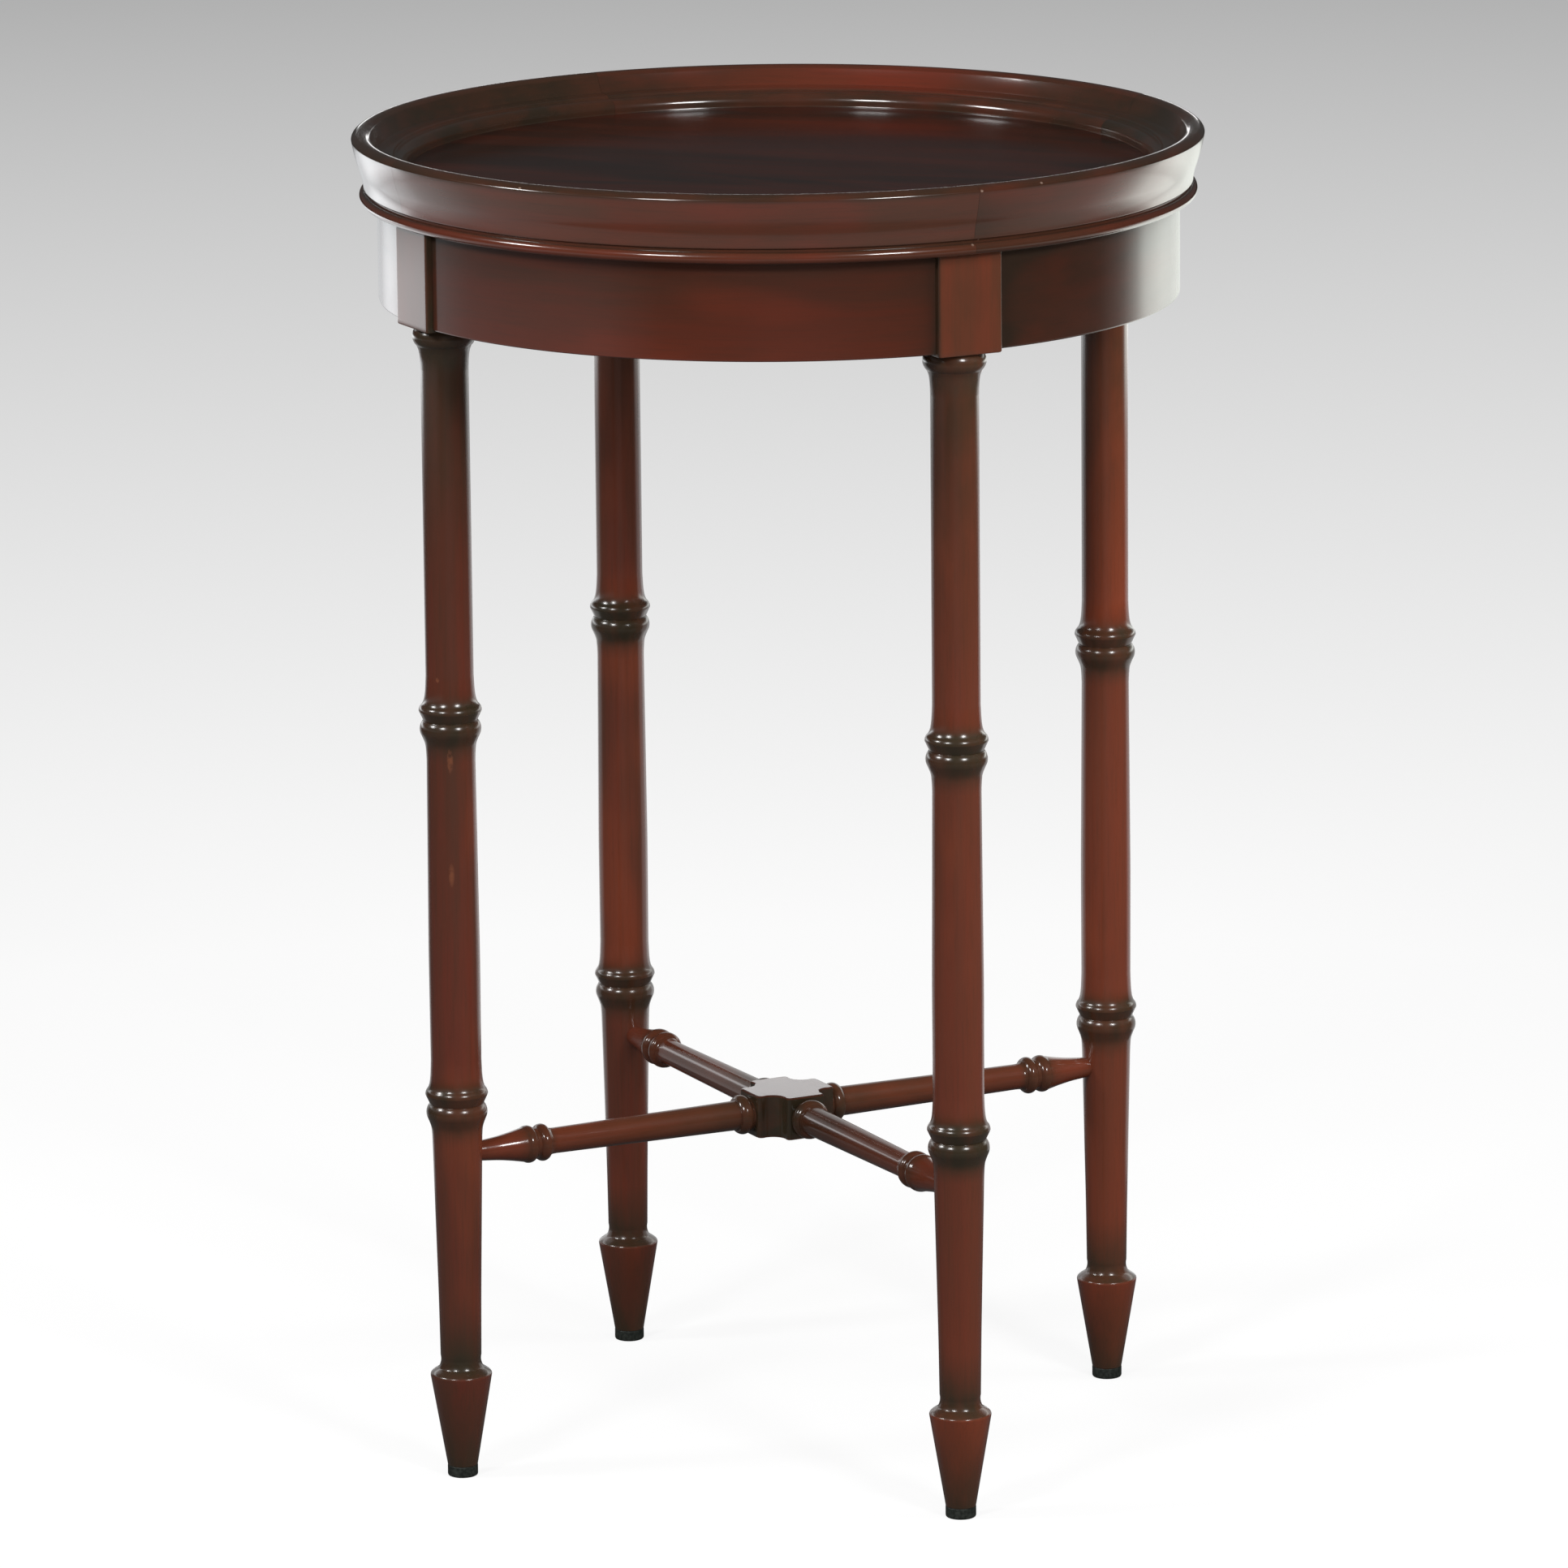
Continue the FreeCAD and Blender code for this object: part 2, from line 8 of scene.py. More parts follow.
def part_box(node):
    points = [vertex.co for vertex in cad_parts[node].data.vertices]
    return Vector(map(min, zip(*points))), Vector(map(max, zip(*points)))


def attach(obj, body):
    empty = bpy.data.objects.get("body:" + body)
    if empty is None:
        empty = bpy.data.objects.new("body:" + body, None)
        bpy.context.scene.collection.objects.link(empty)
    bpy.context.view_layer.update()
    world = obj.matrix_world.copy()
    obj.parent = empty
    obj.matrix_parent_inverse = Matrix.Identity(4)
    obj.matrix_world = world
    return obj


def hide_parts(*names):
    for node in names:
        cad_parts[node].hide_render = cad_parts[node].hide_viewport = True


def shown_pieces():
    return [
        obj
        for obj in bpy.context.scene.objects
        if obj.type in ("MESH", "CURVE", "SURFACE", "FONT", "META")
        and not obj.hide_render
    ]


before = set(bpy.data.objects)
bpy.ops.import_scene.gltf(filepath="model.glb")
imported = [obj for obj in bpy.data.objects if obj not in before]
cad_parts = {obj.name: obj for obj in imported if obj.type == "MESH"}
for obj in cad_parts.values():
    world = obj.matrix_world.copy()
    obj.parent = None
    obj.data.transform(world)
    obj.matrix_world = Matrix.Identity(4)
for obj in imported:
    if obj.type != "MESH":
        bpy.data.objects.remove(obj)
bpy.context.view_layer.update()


# Four legs, each turned from one blank of mahogany, 34 mm square. The top stays square where the
# apron is dowelled to it, and below come a half-round collar, two bamboo nodes and a cone foot.
# The lacquer is red-brown over a dark glaze, wiped off the shafts and left round the rings.
leg_names = ["front_left", "front_right", "back_right", "back_left"]
leg_turns = [math.radians(turn) for turn in (225, 315, 45, 135)]
leg_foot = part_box("foot_glide_front_left")[1].z
leg_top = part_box("leg_front_left")[1].z
apron_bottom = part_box("apron_segment_front")[0].z
apron_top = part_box("apron_segment_front")[1].z
block_drop = 0.0012
block_bottom = apron_bottom - block_drop
block_half = 0.017
block_ease = 0.0009
block_corner_ease = block_ease * 1.4
block_row_shares = [0.06, 0.14, 0.3, 0.6, 0.8, 0.9, 1.0]

foot_tip_radius = 0.0074
foot_radius = 0.0153
foot_top = 0.0538
foot_edge = 0.0013
ankle_slope_radius = 0.0112
ankle_slope_height = 0.0017
ankle_hollow = 0.0007
ankle_radius = 0.0101
ankle_top = 0.062
waist_radius = 0.0105
waist_height = 0.092
node_tops = [0.1975, 0.3902]
lower_shaft_radius = 0.0122
middle_shaft_radius = 0.01245
middle_swell_radius = 0.0126
middle_swell_height = 0.2664
middle_top_radius = 0.0119
upper_shaft_radius = 0.0117
ring_radius = 0.0154
ring_height = 0.0076
ring_edge = 0.0009
ring_crown = 0.0026
ring_swell = 0.00025
valley_radius = 0.0131
bead_shoulder_radius = 0.0143
bead_crown_radius = 0.0136
bead_bow = 0.00105
bead_drop = 0.0146
sweep_drop = 0.0275
node_sweep_shares = [(0.09, 0.38), (0.30, 0.68)]
flare_height = 0.015
flare_shares = [(0.34, 0.08), (0.66, 0.24), (0.87, 0.53)]
collar_radius = 0.0154
collar_root_radius = 0.0134
collar_height = 0.0092
collar_sweep_height = 0.012
collar_sweep_shares = [(0.12, 0.45), (0.42, 0.78)]
turned_sides = 96
crisp_edge = 0.0004
soft_edge = 0.0009
shaft_ease = 0.008
sharp_turn = math.radians(34)


def foot_place(leg_name):
    """The middle of a leg's foot, on the floor."""
    low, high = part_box("foot_glide_" + leg_name)
    return Vector(((low.x + high.x) / 2, (low.y + high.y) / 2, 0))


class Outline:
    """The half section of a turned piece, drawn as radius and height from end to end."""

    def __init__(self, radius, height, ease=0.0):
        self.points = [(radius, height, ease)]

    def line(self, radius, height, ease=0.0):
        self.points.append((radius, height, ease))

    def bow(self, radius, height, rise, steps=12):
        """An arc that leaves its chord by rise, to the right of the way drawn."""
        start = Vector(self.points[-1][:2])
        chord = Vector((radius, height)) - start
        along = chord.normalized()
        side = Vector((along.y, -along.x)) * math.copysign(1, rise)
        half_turn = 2 * math.atan(2 * abs(rise) / chord.length)
        arc_radius = chord.length / 2 / math.sin(half_turn)
        for step in range(1, steps + 1):
            turn = half_turn * (2 * step / steps - 1)
            point = start + chord / 2 + along * arc_radius * math.sin(turn)
            point += side * arc_radius * (math.cos(turn) - math.cos(half_turn))
            self.points.append((point.x, point.y, 0.0))

    def sweep(self, radius, height, shares, steps=6):
        """A smooth curve through shares of the way in radius and in height."""
        start = Vector(self.points[-1][:2])
        way = Vector((radius, height)) - start
        knots = [start] + [start + Vector((way.x * out, way.y * up)) for out, up in shares]
        knots.append(start + way)
        padded = [knots[0]] + knots + [knots[-1]]
        for a, b, c, d in zip(padded, padded[1:], padded[2:], padded[3:]):
            for step in range(1, steps + 1):
                t = step / steps
                point = 0.5 * (2 * b + (c - a) * t + (2 * a - 5 * b + 4 * c - d) * t ** 2
                               + (3 * b - a - 3 * c + d) * t ** 3)
                self.points.append((point.x, point.y, 0.0))

    def eased(self, steps=4):
        """The outline's points, with each corner that has an ease worn round by it."""
        done = []
        for index, (radius, height, ease) in enumerate(self.points):
            corner = Vector((radius, height))
            if ease == 0 or index in (0, len(self.points) - 1):
                done.append(corner)
                continue
            back = Vector(self.points[index - 1][:2]) - corner
            ahead = Vector(self.points[index + 1][:2]) - corner
            first = corner + back.normalized() * min(ease, back.length * 0.45)
            last = corner + ahead.normalized() * min(ease, ahead.length * 0.45)
            for step in range(steps + 1):
                t = step / steps
                done.append(first * (1 - t) ** 2 + corner * 2 * t * (1 - t) + last * t ** 2)
        return done


def turned_rings(outline, sides=turned_sides):
    turns = [2 * math.pi * side / sides for side in range(sides)]
    return [[Vector((point.x * math.cos(turn), point.x * math.sin(turn), point.y)) for turn in turns]
            for point in outline.eased()]


def skinned(name, rings):
    """A closed mesh through a row of rings, with a flat cap on both ends."""
    count = len(rings[0])
    faces = [tuple(range(count))]
    for row in range(len(rings) - 1):
        low = row * count
        for side in range(count):
            beside = (side + 1) % count
            faces.append((low + side, low + beside, low + count + beside, low + count + side))
    faces.append(tuple(range(len(rings) * count - count, len(rings) * count)))
    mesh = bpy.data.meshes.new(name)
    mesh.from_pydata([point for ring in rings for point in ring], [], faces)
    shape = bmesh.new()
    shape.from_mesh(mesh)
    bmesh.ops.recalc_face_normals(shape, faces=shape.faces)
    for face in shape.faces:
        face.smooth = True
    for edge in shape.edges:
        edge.smooth = edge.calc_face_angle(0) < sharp_turn
    shape.to_mesh(mesh)
    shape.free()
    return mesh


def note(mesh, name, kind, values):
    """Writes one value for each point of the mesh, for its material to read."""
    layer = mesh.attributes.new(name, kind, "POINT")
    for index, value in enumerate(values):
        if kind == "FLOAT":
            layer.data[index].value = value
        else:
            layer.data[index].vector = value


def grained(mesh, wood, glaze, warmth):
    """Writes each point's place in the wood, how dark its glaze and painted shade are and how warm its
    colour.
    """
    places = [vertex.co.copy() for vertex in mesh.vertices]
    note(mesh, "wood", "FLOAT_VECTOR", [wood(p) for p in places])
    note(mesh, "glaze", "FLOAT", [glaze(p) for p in places])
    note(mesh, "warmth", "FLOAT", [warmth(p) for p in places])


def shown(name, mesh, material, slot, *nodes):
    """Puts a finished mesh on the table in place of its plain solids."""
    piece = bpy.data.objects.new(name, mesh)
    bpy.context.scene.collection.objects.link(piece)
    piece.data.materials.append(material)
    even = piece.modifiers.new("even_shading", "WEIGHTED_NORMAL")
    even.keep_sharp = True
    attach(piece, "root")
    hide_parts(*nodes)
    return piece


class Finish:
    """A material with one Principled surface, built up a layer at a time."""

    def __init__(self, name):
        self.material = bpy.data.materials.new(name)
        self.material.use_nodes = True
        self.tree = self.material.node_tree
        self.surface = self.tree.nodes["Principled BSDF"]

    def node(self, kind, settings=None, **sockets):
        made = self.tree.nodes.new("ShaderNode" + kind)
        for key, value in (settings or {}).items():
            setattr(made, key, value)
        for key, value in sockets.items():
            self.feed(made.inputs[key.replace("_", " ")], value)
        return made

    def feed(self, socket, value):
        if isinstance(value, bpy.types.NodeSocket):
            self.tree.links.new(value, socket)
        else:
            socket.default_value = value

    def coat(self, **sockets):
        for key, value in sockets.items():
            self.feed(self.surface.inputs[key.replace("_", " ")], value)

    def read(self, name, output="Vector"):
        return self.node("Attribute", {"attribute_name": name}).outputs[output]

    def stretched(self, vector, x, y, z):
        return self.node("Mapping", Vector=vector, Scale=(x, y, z)).outputs["Vector"]

    def cloud(self, vector, scale=1.0, detail=3.0, roughness=0.55, distortion=0.0):
        return self.node("TexNoise", Vector=vector, Scale=scale, Detail=detail, Roughness=roughness,
                         Distortion=distortion).outputs[0]

    def spread(self, value, low, high, start=0.0, end=1.0):
        """Maps low..high smoothly onto start..end."""
        return self.node("MapRange", {"interpolation_type": "SMOOTHSTEP"}, Value=value, From_Min=low,
                         From_Max=high, To_Min=start, To_Max=end).outputs["Result"]

    def maths(self, operation, first, second=0.0, third=0.0):
        made = self.node("Math", {"operation": operation})
        for socket, value in zip(made.inputs, (first, second, third)):
            self.feed(socket, value)
        return made.outputs[0]

    def mixed(self, share, first, second, blend="MIX"):
        made = self.node("Mix", {"data_type": "RGBA", "blend_type": blend})
        for index, value in ((0, share), (6, first), (7, second)):
            self.feed(made.inputs[index], value)
        return made.outputs[2]

    def patch(self, vector, place, size, core_share=0.35):
        """1 in the core round a place, falling to 0 at size from it, with size given along each axis."""
        apart = self.node("VectorMath", {"operation": "SUBTRACT"})
        self.feed(apart.inputs[0], vector)
        self.feed(apart.inputs[1], place)
        scaled = self.stretched(apart.outputs[0], *[1 / side for side in size])
        reach = self.node("VectorMath", {"operation": "LENGTH"}, Vector=scaled).outputs["Value"]
        return self.spread(reach, core_share, 1.0, 1.0, 0.0)

    def bumped(self, height, depth, strength=1.0):
        made = self.node("Bump", Height=height, Distance=depth, Strength=strength)
        self.feed(self.surface.inputs["Normal"], made.outputs["Normal"])


def lacquered_mahogany(name, red, brown, ember, glaze, gloss=0.24, coat=1.0, polish=0.1, scuffs=(),
                       bare_wood=(0.25, 0.08, 0.034, 1)):
    """Mahogany under toned lacquer: bands along the grain, warm patches, fine pores and a dark glaze that
    also lays on painted shade.
    """
    finish = Finish(name)
    wood = finish.read("wood")
    bands = finish.cloud(finish.stretched(wood, 6, 95, 95), detail=4.0, roughness=0.6)
    patches = finish.cloud(finish.stretched(wood, 9, 22, 22), detail=2.0)
    streaks = finish.cloud(finish.stretched(wood, 34, 900, 900), roughness=0.6)
    pores = finish.cloud(finish.stretched(wood, 160, 2600, 2600), detail=2.0, roughness=0.5)
    tone = finish.mixed(finish.spread(bands, 0.3, 0.7, 0.1, 0.9), red, brown)
    warm = finish.maths("ADD", finish.spread(patches, 0.5, 0.72, 0.0, 0.75), finish.read("warmth", "Fac"))
    tone = finish.mixed(finish.maths("MINIMUM", warm, 1.0), tone, ember)
    tone = finish.mixed(finish.spread(streaks, 0.45, 0.75, 0.0, 0.2), tone, glaze)
    tone = finish.mixed(finish.spread(pores, 0.6, 0.72, 0.0, 0.14), tone, glaze)
    rub = finish.cloud(finish.stretched(wood, 30, 70, 70))
    # This share holds the glaze and also the painted shade and shadow written into the mesh.
    held = finish.maths("MULTIPLY", finish.read("glaze", "Fac"), finish.spread(rub, 0.25, 0.75, 0.72, 1.2))
    tone = finish.mixed(finish.maths("MINIMUM", held, 1.0), tone, glaze)
    worn = finish.spread(finish.cloud(finish.stretched(wood, 420, 700, 700)), 0.3, 0.55, 0.1, 0.6)
    bare = 0.0
    for place, size in scuffs:
        mark = finish.maths("MULTIPLY", finish.patch(wood, place, size), worn)
        bare = finish.maths("MAXIMUM", bare, mark)
    tone = finish.mixed(bare, tone, bare_wood)
    smear = finish.cloud(finish.stretched(wood, 18, 50, 50))
    rough = finish.spread(smear, 0.3, 0.7, gloss * 0.94, gloss * 1.08)
    finish.coat(Base_Color=tone, Roughness=finish.maths("ADD", rough, finish.maths("MULTIPLY", bare, 0.3)),
                IOR=1.5, Specular_IOR_Level=0.2, Coat_Weight=coat, Coat_Roughness=polish, Coat_IOR=1.5)
    finish.bumped(finish.maths("ADD", streaks, finish.maths("MULTIPLY", pores, 0.6)), 0.00002, 0.05)
    return finish.material


deep_red = (0.129, 0.0264, 0.0145, 1)
warm_brown = (0.079, 0.0278, 0.0155, 1)
ember = (0.190, 0.040, 0.017, 1)
dark_glaze_and_shade = (0.034, 0.024, 0.013, 1)
# Rubbed spots on the front left shaft: the height, the way out from its axis and the size each way.
shaft_scuffs = [
    ((0.3650, 0.0053, 0.0104), (0.0080, 0.0022, 0.0014)),
    ((0.3074, 0.0053, 0.0104), (0.0080, 0.0022, 0.0014)),
    ((0.4046, 0.0097, 0.0066), (0.0016, 0.0012, 0.0012)),
]
leg_finish = lacquered_mahogany("leg_lacquer", deep_red, warm_brown, ember, dark_glaze_and_shade, polish=0.2,
                                scuffs=shaft_scuffs)
# Belts of dark glaze: the height it starts and ends at, and how far it fades below and above.
node_belt_drop = bead_drop + 0.002
belt_rise = 0.001
glaze_belts = [
    (0.0, leg_foot + belt_rise, 0.001, 0.004),
    (foot_top - 0.0006, ankle_top, 0.0006, 0.010),
    (node_tops[0] - node_belt_drop, node_tops[0] + belt_rise, 0.008, 0.004),
    (node_tops[1] - node_belt_drop, node_tops[1] + belt_rise, 0.008, 0.004),
    (block_bottom - collar_height - 0.006, block_bottom, 0.018, 0.0005),
]
glaze_strength = 0.85
block_plain_glaze = 0.42
block_edge_glaze = 1.1
block_edge_fade = 0.0016
block_end_glaze_and_shadow = 0.75
block_foot_fade = 0.002
# Painted shadow at the head of the block, under the rim: where it starts and how fast it fades.
block_shadow_top = apron_top - 0.001
block_shadow_fade = 0.003
leg_warmth = [0.05, 0.4, 0.6, 0.15]
block_warmth = 0.3
# How much further on in the wood each next leg is cut, along the grain and across it.
leg_blank_step = 3.7
leg_plank_step = 1.3


def bamboo_node(outline, node_top, radius_below, radius_above):
    """The two rings of a node, for an outline that comes up from below."""
    outline.line(radius_below, node_top - sweep_drop)
    outline.sweep(bead_shoulder_radius, node_top - bead_drop, node_sweep_shares)
    outline.bow(bead_crown_radius, node_top - ring_height, bead_bow, steps=16)
    outline.line(valley_radius, node_top - ring_height, crisp_edge)
    outline.line(ring_radius, node_top - ring_crown, crisp_edge)
    outline.bow(ring_radius - ring_edge, node_top, ring_swell)
    outline.sweep(radius_above, node_top + flare_height, flare_shares, steps=5)


def leg_outline():
    collar_bottom = block_bottom - collar_height
    outline = Outline(foot_tip_radius - soft_edge, leg_foot)
    outline.line(foot_tip_radius, leg_foot, crisp_edge)
    outline.line(foot_radius, foot_top - foot_edge, soft_edge)
    outline.line(foot_radius - foot_edge, foot_top, soft_edge)
    outline.line(ankle_slope_radius, foot_top + ankle_slope_height, soft_edge)
    outline.bow(ankle_radius, ankle_top, -ankle_hollow, steps=6)
    outline.line(waist_radius, waist_height, shaft_ease)
    bamboo_node(outline, node_tops[0], lower_shaft_radius, middle_shaft_radius)
    outline.line(middle_swell_radius, middle_swell_height, shaft_ease)
    bamboo_node(outline, node_tops[1], middle_top_radius, upper_shaft_radius)
    outline.line(upper_shaft_radius, collar_bottom - collar_sweep_height)
    outline.sweep(collar_root_radius, collar_bottom, collar_sweep_shares)
    outline.bow(collar_root_radius, block_bottom, collar_radius - collar_root_radius, steps=14)
    return outline


def square_ring(half, height):
    """A square with worn corners, with as many points as a turned ring."""
    corner_steps = 8
    side_steps = turned_sides // 4 - corner_steps
    ease = block_corner_ease
    flat = half - ease
    quarter = [Vector((half, flat * (2 * step / side_steps - 1), height)) for step in range(side_steps)]
    for step in range(corner_steps):
        turn = math.pi / 2 * step / corner_steps
        quarter.append(Vector((flat + ease * math.cos(turn), flat + ease * math.sin(turn), height)))
    ring = []
    for side in range(4):
        ring += [Matrix.Rotation(side * math.pi / 2, 3, "Z") @ point for point in quarter]
    first = side_steps // 2
    return ring[first:] + ring[:first]


def leg_rings():
    rings = turned_rings(leg_outline())
    for inset_share, rise_share in ((1.0, 0.0), (0.3, 0.3), (0.0, 1.0)):
        half = block_half - block_ease * inset_share
        rings.append(square_ring(half, block_bottom + block_ease * rise_share))
    for share in block_row_shares:
        rings.append(square_ring(block_half, block_bottom + (leg_top - block_bottom) * share))
    return rings


def leg_glaze_and_shadow(point):
    """How dark the glaze lies: full in a belt, and fading out below and above it. At the block's head a
    shadow under the rim is painted on.
    """
    darkest = 0.0
    for low, high, fade_below, fade_above in glaze_belts:
        if point.z < low:
            beyond = (low - point.z) / fade_below
        elif point.z > high:
            beyond = (point.z - high) / fade_above
        else:
            beyond = 0.0
        darkest = max(darkest, math.exp(-beyond ** 1.5))
    if point.z > block_bottom:
        from_edge = block_half - abs(point.y)
        from_foot = point.z - block_bottom
        below_shadow_top = max(0.0, block_shadow_top - point.z)
        darkest = max(block_plain_glaze, block_edge_glaze * math.exp(-from_edge / block_edge_fade),
                      block_end_glaze_and_shadow * math.exp(-from_foot / block_foot_fade),
                      block_end_glaze_and_shadow * math.exp(-below_shadow_top / block_shadow_fade))
    return darkest * glaze_strength


for index, leg_name in enumerate(leg_names):
    mesh = skinned("leg_" + leg_name, leg_rings())
    grained(mesh, lambda p: (p.z + index * leg_blank_step, p.x + index * leg_plank_step, p.y), leg_glaze_and_shadow,
            lambda p: block_warmth if p.z > block_bottom else leg_warmth[index])
    mesh.transform(Matrix.Translation(foot_place(leg_name)) @ Matrix.Rotation(leg_turns[index], 4, "Z"))
    shown("turned_leg_" + leg_name, mesh, leg_finish, "leg_mahogany", "leg_" + leg_name)


# The hub of the stretcher, cut from a square 21.6 mm thick with a deep scoop at each corner. Its four
# flat faces are bored for the spindles' tenons. It is of the same mahogany, laid grain flat.
hub_low, hub_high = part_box("stretcher_hub")
hub_middle = (hub_low + hub_high) / 2
hub_height = hub_high.z - hub_low.z
hub_half = 0.0215
hub_face_half = 0.011
hub_scoop_reach = 0.0175
hub_lobe = 0.0034
hub_lobe_steps = 8
hub_ease = 0.0011
hub_arc_steps = 16
hub_face_steps = 8
hub_side_glaze = 1.0
hub_top_glaze = 0.3
hub_wood_start = 21


def hub_plan():
    """The plan of the hub, with its first flat face on +X and the corners of each scoop rounded."""
    start = Vector((hub_half, hub_face_half))
    bottom = Vector((hub_scoop_reach, hub_scoop_reach)) / math.sqrt(2)
    chord = Vector((hub_face_half, hub_half)) - start
    sagitta = ((start + chord / 2) - bottom).length
    scoop = Outline(start.x, start.y)
    scoop.bow(hub_face_half, hub_half, -sagitta, hub_arc_steps)
    arc = [Vector(point[:2]) for point in scoop.points]
    kept = [point for point in arc if min((point - arc[0]).length, (point - arc[-1]).length) > hub_lobe]
    lobe = []
    flat_end = start - Vector((0, hub_lobe))
    for step in range(hub_lobe_steps):
        t = step / hub_lobe_steps
        lobe.append(flat_end * (1 - t) ** 2 + start * 2 * t * (1 - t) + kept[0] * t ** 2)
    mirrored = [Vector((point.y, point.x)) for point in reversed(lobe)]
    flat = hub_face_half - hub_lobe
    shares = [2 * step / hub_face_steps - 1 for step in range(1, hub_face_steps)]
    quarter = [Vector((hub_half, flat * share)) for share in shares]
    quarter += lobe + kept + mirrored
    return [Matrix.Rotation(side * math.pi / 2, 2) @ point for side in range(4) for point in quarter]


def hub_glaze(point):
    return hub_side_glaze if abs(point.z) < (hub_height - hub_ease) / 2 else hub_top_glaze


def hub_rings():
    edge_shares = [(0.0, 1.0), (0.3, 0.3), (1.0, 0.0)]
    rows = [(inset, -hub_height / 2 + hub_ease * rise) for rise, inset in edge_shares]
    rows += [(inset, hub_height / 2 - hub_ease * rise) for rise, inset in reversed(edge_shares)]
    return [[Vector((p.x, p.y, height)) - Vector((p.x, p.y, 0)).normalized() * hub_ease * inset
             for p in hub_plan()] for inset, height in rows]


hub_finish = lacquered_mahogany("hub_lacquer", deep_red, warm_brown, ember, dark_glaze_and_shade, gloss=0.2)
mesh = skinned("stretcher_hub_block", hub_rings())
grained(mesh, lambda p: (p.x + hub_wood_start, p.y, p.z), hub_glaze, lambda p: 0.0)
mesh.transform(Matrix.Translation(hub_middle) @ Matrix.Rotation(math.radians(45), 4, "Z"))
shown("hub_block", mesh, hub_finish, "stretcher_mahogany", "stretcher_hub")


# Four stretcher spindles, turned in mahogany and glued into the hub and the legs with round tenons.
# Each grows from a thin neck at the leg to a swell and a bead, and ends in a bead against the hub.
hub_face = foot_place("front_left").length - hub_half
spindle_start = 0.0095
spindle_neck_radius = 0.0051
spindle_neck_place = 0.013
trumpet_shares = [(0.25, 0.38), (0.59, 0.70)]
swell_start = 0.0368
swell_end = 0.0412
swell_radius = 0.0092
swell_bulge = 0.0006
spindle_valley_radius = 0.0076
spindle_valley_place = 0.0428
spindle_bead_radius = 0.0093
spindle_bead_end = 0.0486
spindle_collar_radius = 0.0074
bead_fall_shares = [(0.62, 0.25), (0.90, 0.60)]
spindle_shaft_start = 0.053
spindle_shaft_radius = 0.0064
spindle_shaft_end_radius = 0.0074
hub_bead_radius = 0.0099
hub_bead_root_radius = 0.0083
hub_bead_width = 0.0064
hub_quirk_width = 0.001
spindle_sides = 64
spindle_glaze_strength = 0.8
swell_belt_glaze = 0.7
swell_belt_half = 0.007
swell_belt_fade = 0.003
hub_end_fade = 0.009
spindle_warmth = 0.4
spindle_wood_start = 30
spindle_blank_step = 2.9


def spindle_outline():
    bead_start = hub_face - hub_quirk_width - hub_bead_width
    outline = Outline(spindle_neck_radius - crisp_edge, spindle_start)
    outline.line(spindle_neck_radius, spindle_neck_place)
    outline.sweep(swell_radius - swell_bulge, swell_start - swell_bulge * 2, trumpet_shares)
    outline.bow(spindle_valley_radius, swell_end, swell_bulge * 2, steps=10)
    outline.line(spindle_valley_radius, spindle_valley_place)
    outline.bow(spindle_valley_radius, spindle_bead_end, spindle_bead_radius - spindle_valley_radius)
    outline.line(spindle_collar_radius, spindle_bead_end)
    outline.sweep(spindle_shaft_radius, spindle_shaft_start, bead_fall_shares, steps=4)
    outline.line(spindle_shaft_end_radius, bead_start, crisp_edge)
    outline.line(hub_bead_root_radius, bead_start)
    outline.bow(hub_bead_root_radius, bead_start + hub_bead_width, hub_bead_radius - hub_bead_root_radius)
    outline.line(hub_bead_root_radius, hub_face + crisp_edge)
    return outline


def spindle_glaze(point):
    from_swell = max(0.0, abs(point.z - (swell_start + spindle_bead_end) / 2) - swell_belt_half)
    from_hub = max(0.0, hub_face - hub_bead_width - point.z)
    return spindle_glaze_strength * max(swell_belt_glaze * math.exp(-from_swell / swell_belt_fade),
                                        math.exp(-from_hub / hub_end_fade))


spindle_finish = lacquered_mahogany("spindle_lacquer", deep_red, warm_brown, ember, dark_glaze_and_shade, coat=0.8)
for index, leg_name in enumerate(leg_names):
    mesh = skinned("spindle_" + leg_name, turned_rings(spindle_outline(), spindle_sides))
    wood_start = spindle_wood_start + index * spindle_blank_step
    grained(mesh, lambda p: (p.z + wood_start, p.x + index, p.y), spindle_glaze, lambda p: spindle_warmth)
    outward = foot_place(leg_name)
    inward_turn = (-outward).to_track_quat("Z", "Y").to_matrix().to_4x4()
    mesh.transform(Matrix.Translation(outward + Vector((0, 0, hub_middle.z))) @ inward_turn)
    shown("turned_spindle_" + leg_name, mesh, spindle_finish, "stretcher_mahogany",
          "stretcher_spindle_" + leg_name)


# The apron: four rails, bent from thin mahogany layers, 16 mm thick and 48 mm high. They butt against
# the leg blocks on two dowels a side. The glaze has gathered in the joints, and a shadow under the rim is
# painted on.
side_names = ["front", "right", "back", "left"]
apron_low, apron_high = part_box("apron_segment_front")
apron_radius = 0.1966
apron_inner_radius = 0.1806
apron_ease = 0.0009
joint_gap = 0.0001
rail_steps = 96
joint_glaze = 0.5
joint_glaze_fade = 0.0018
beside_joint_glaze = 0.45
beside_joint_fade = 0.014
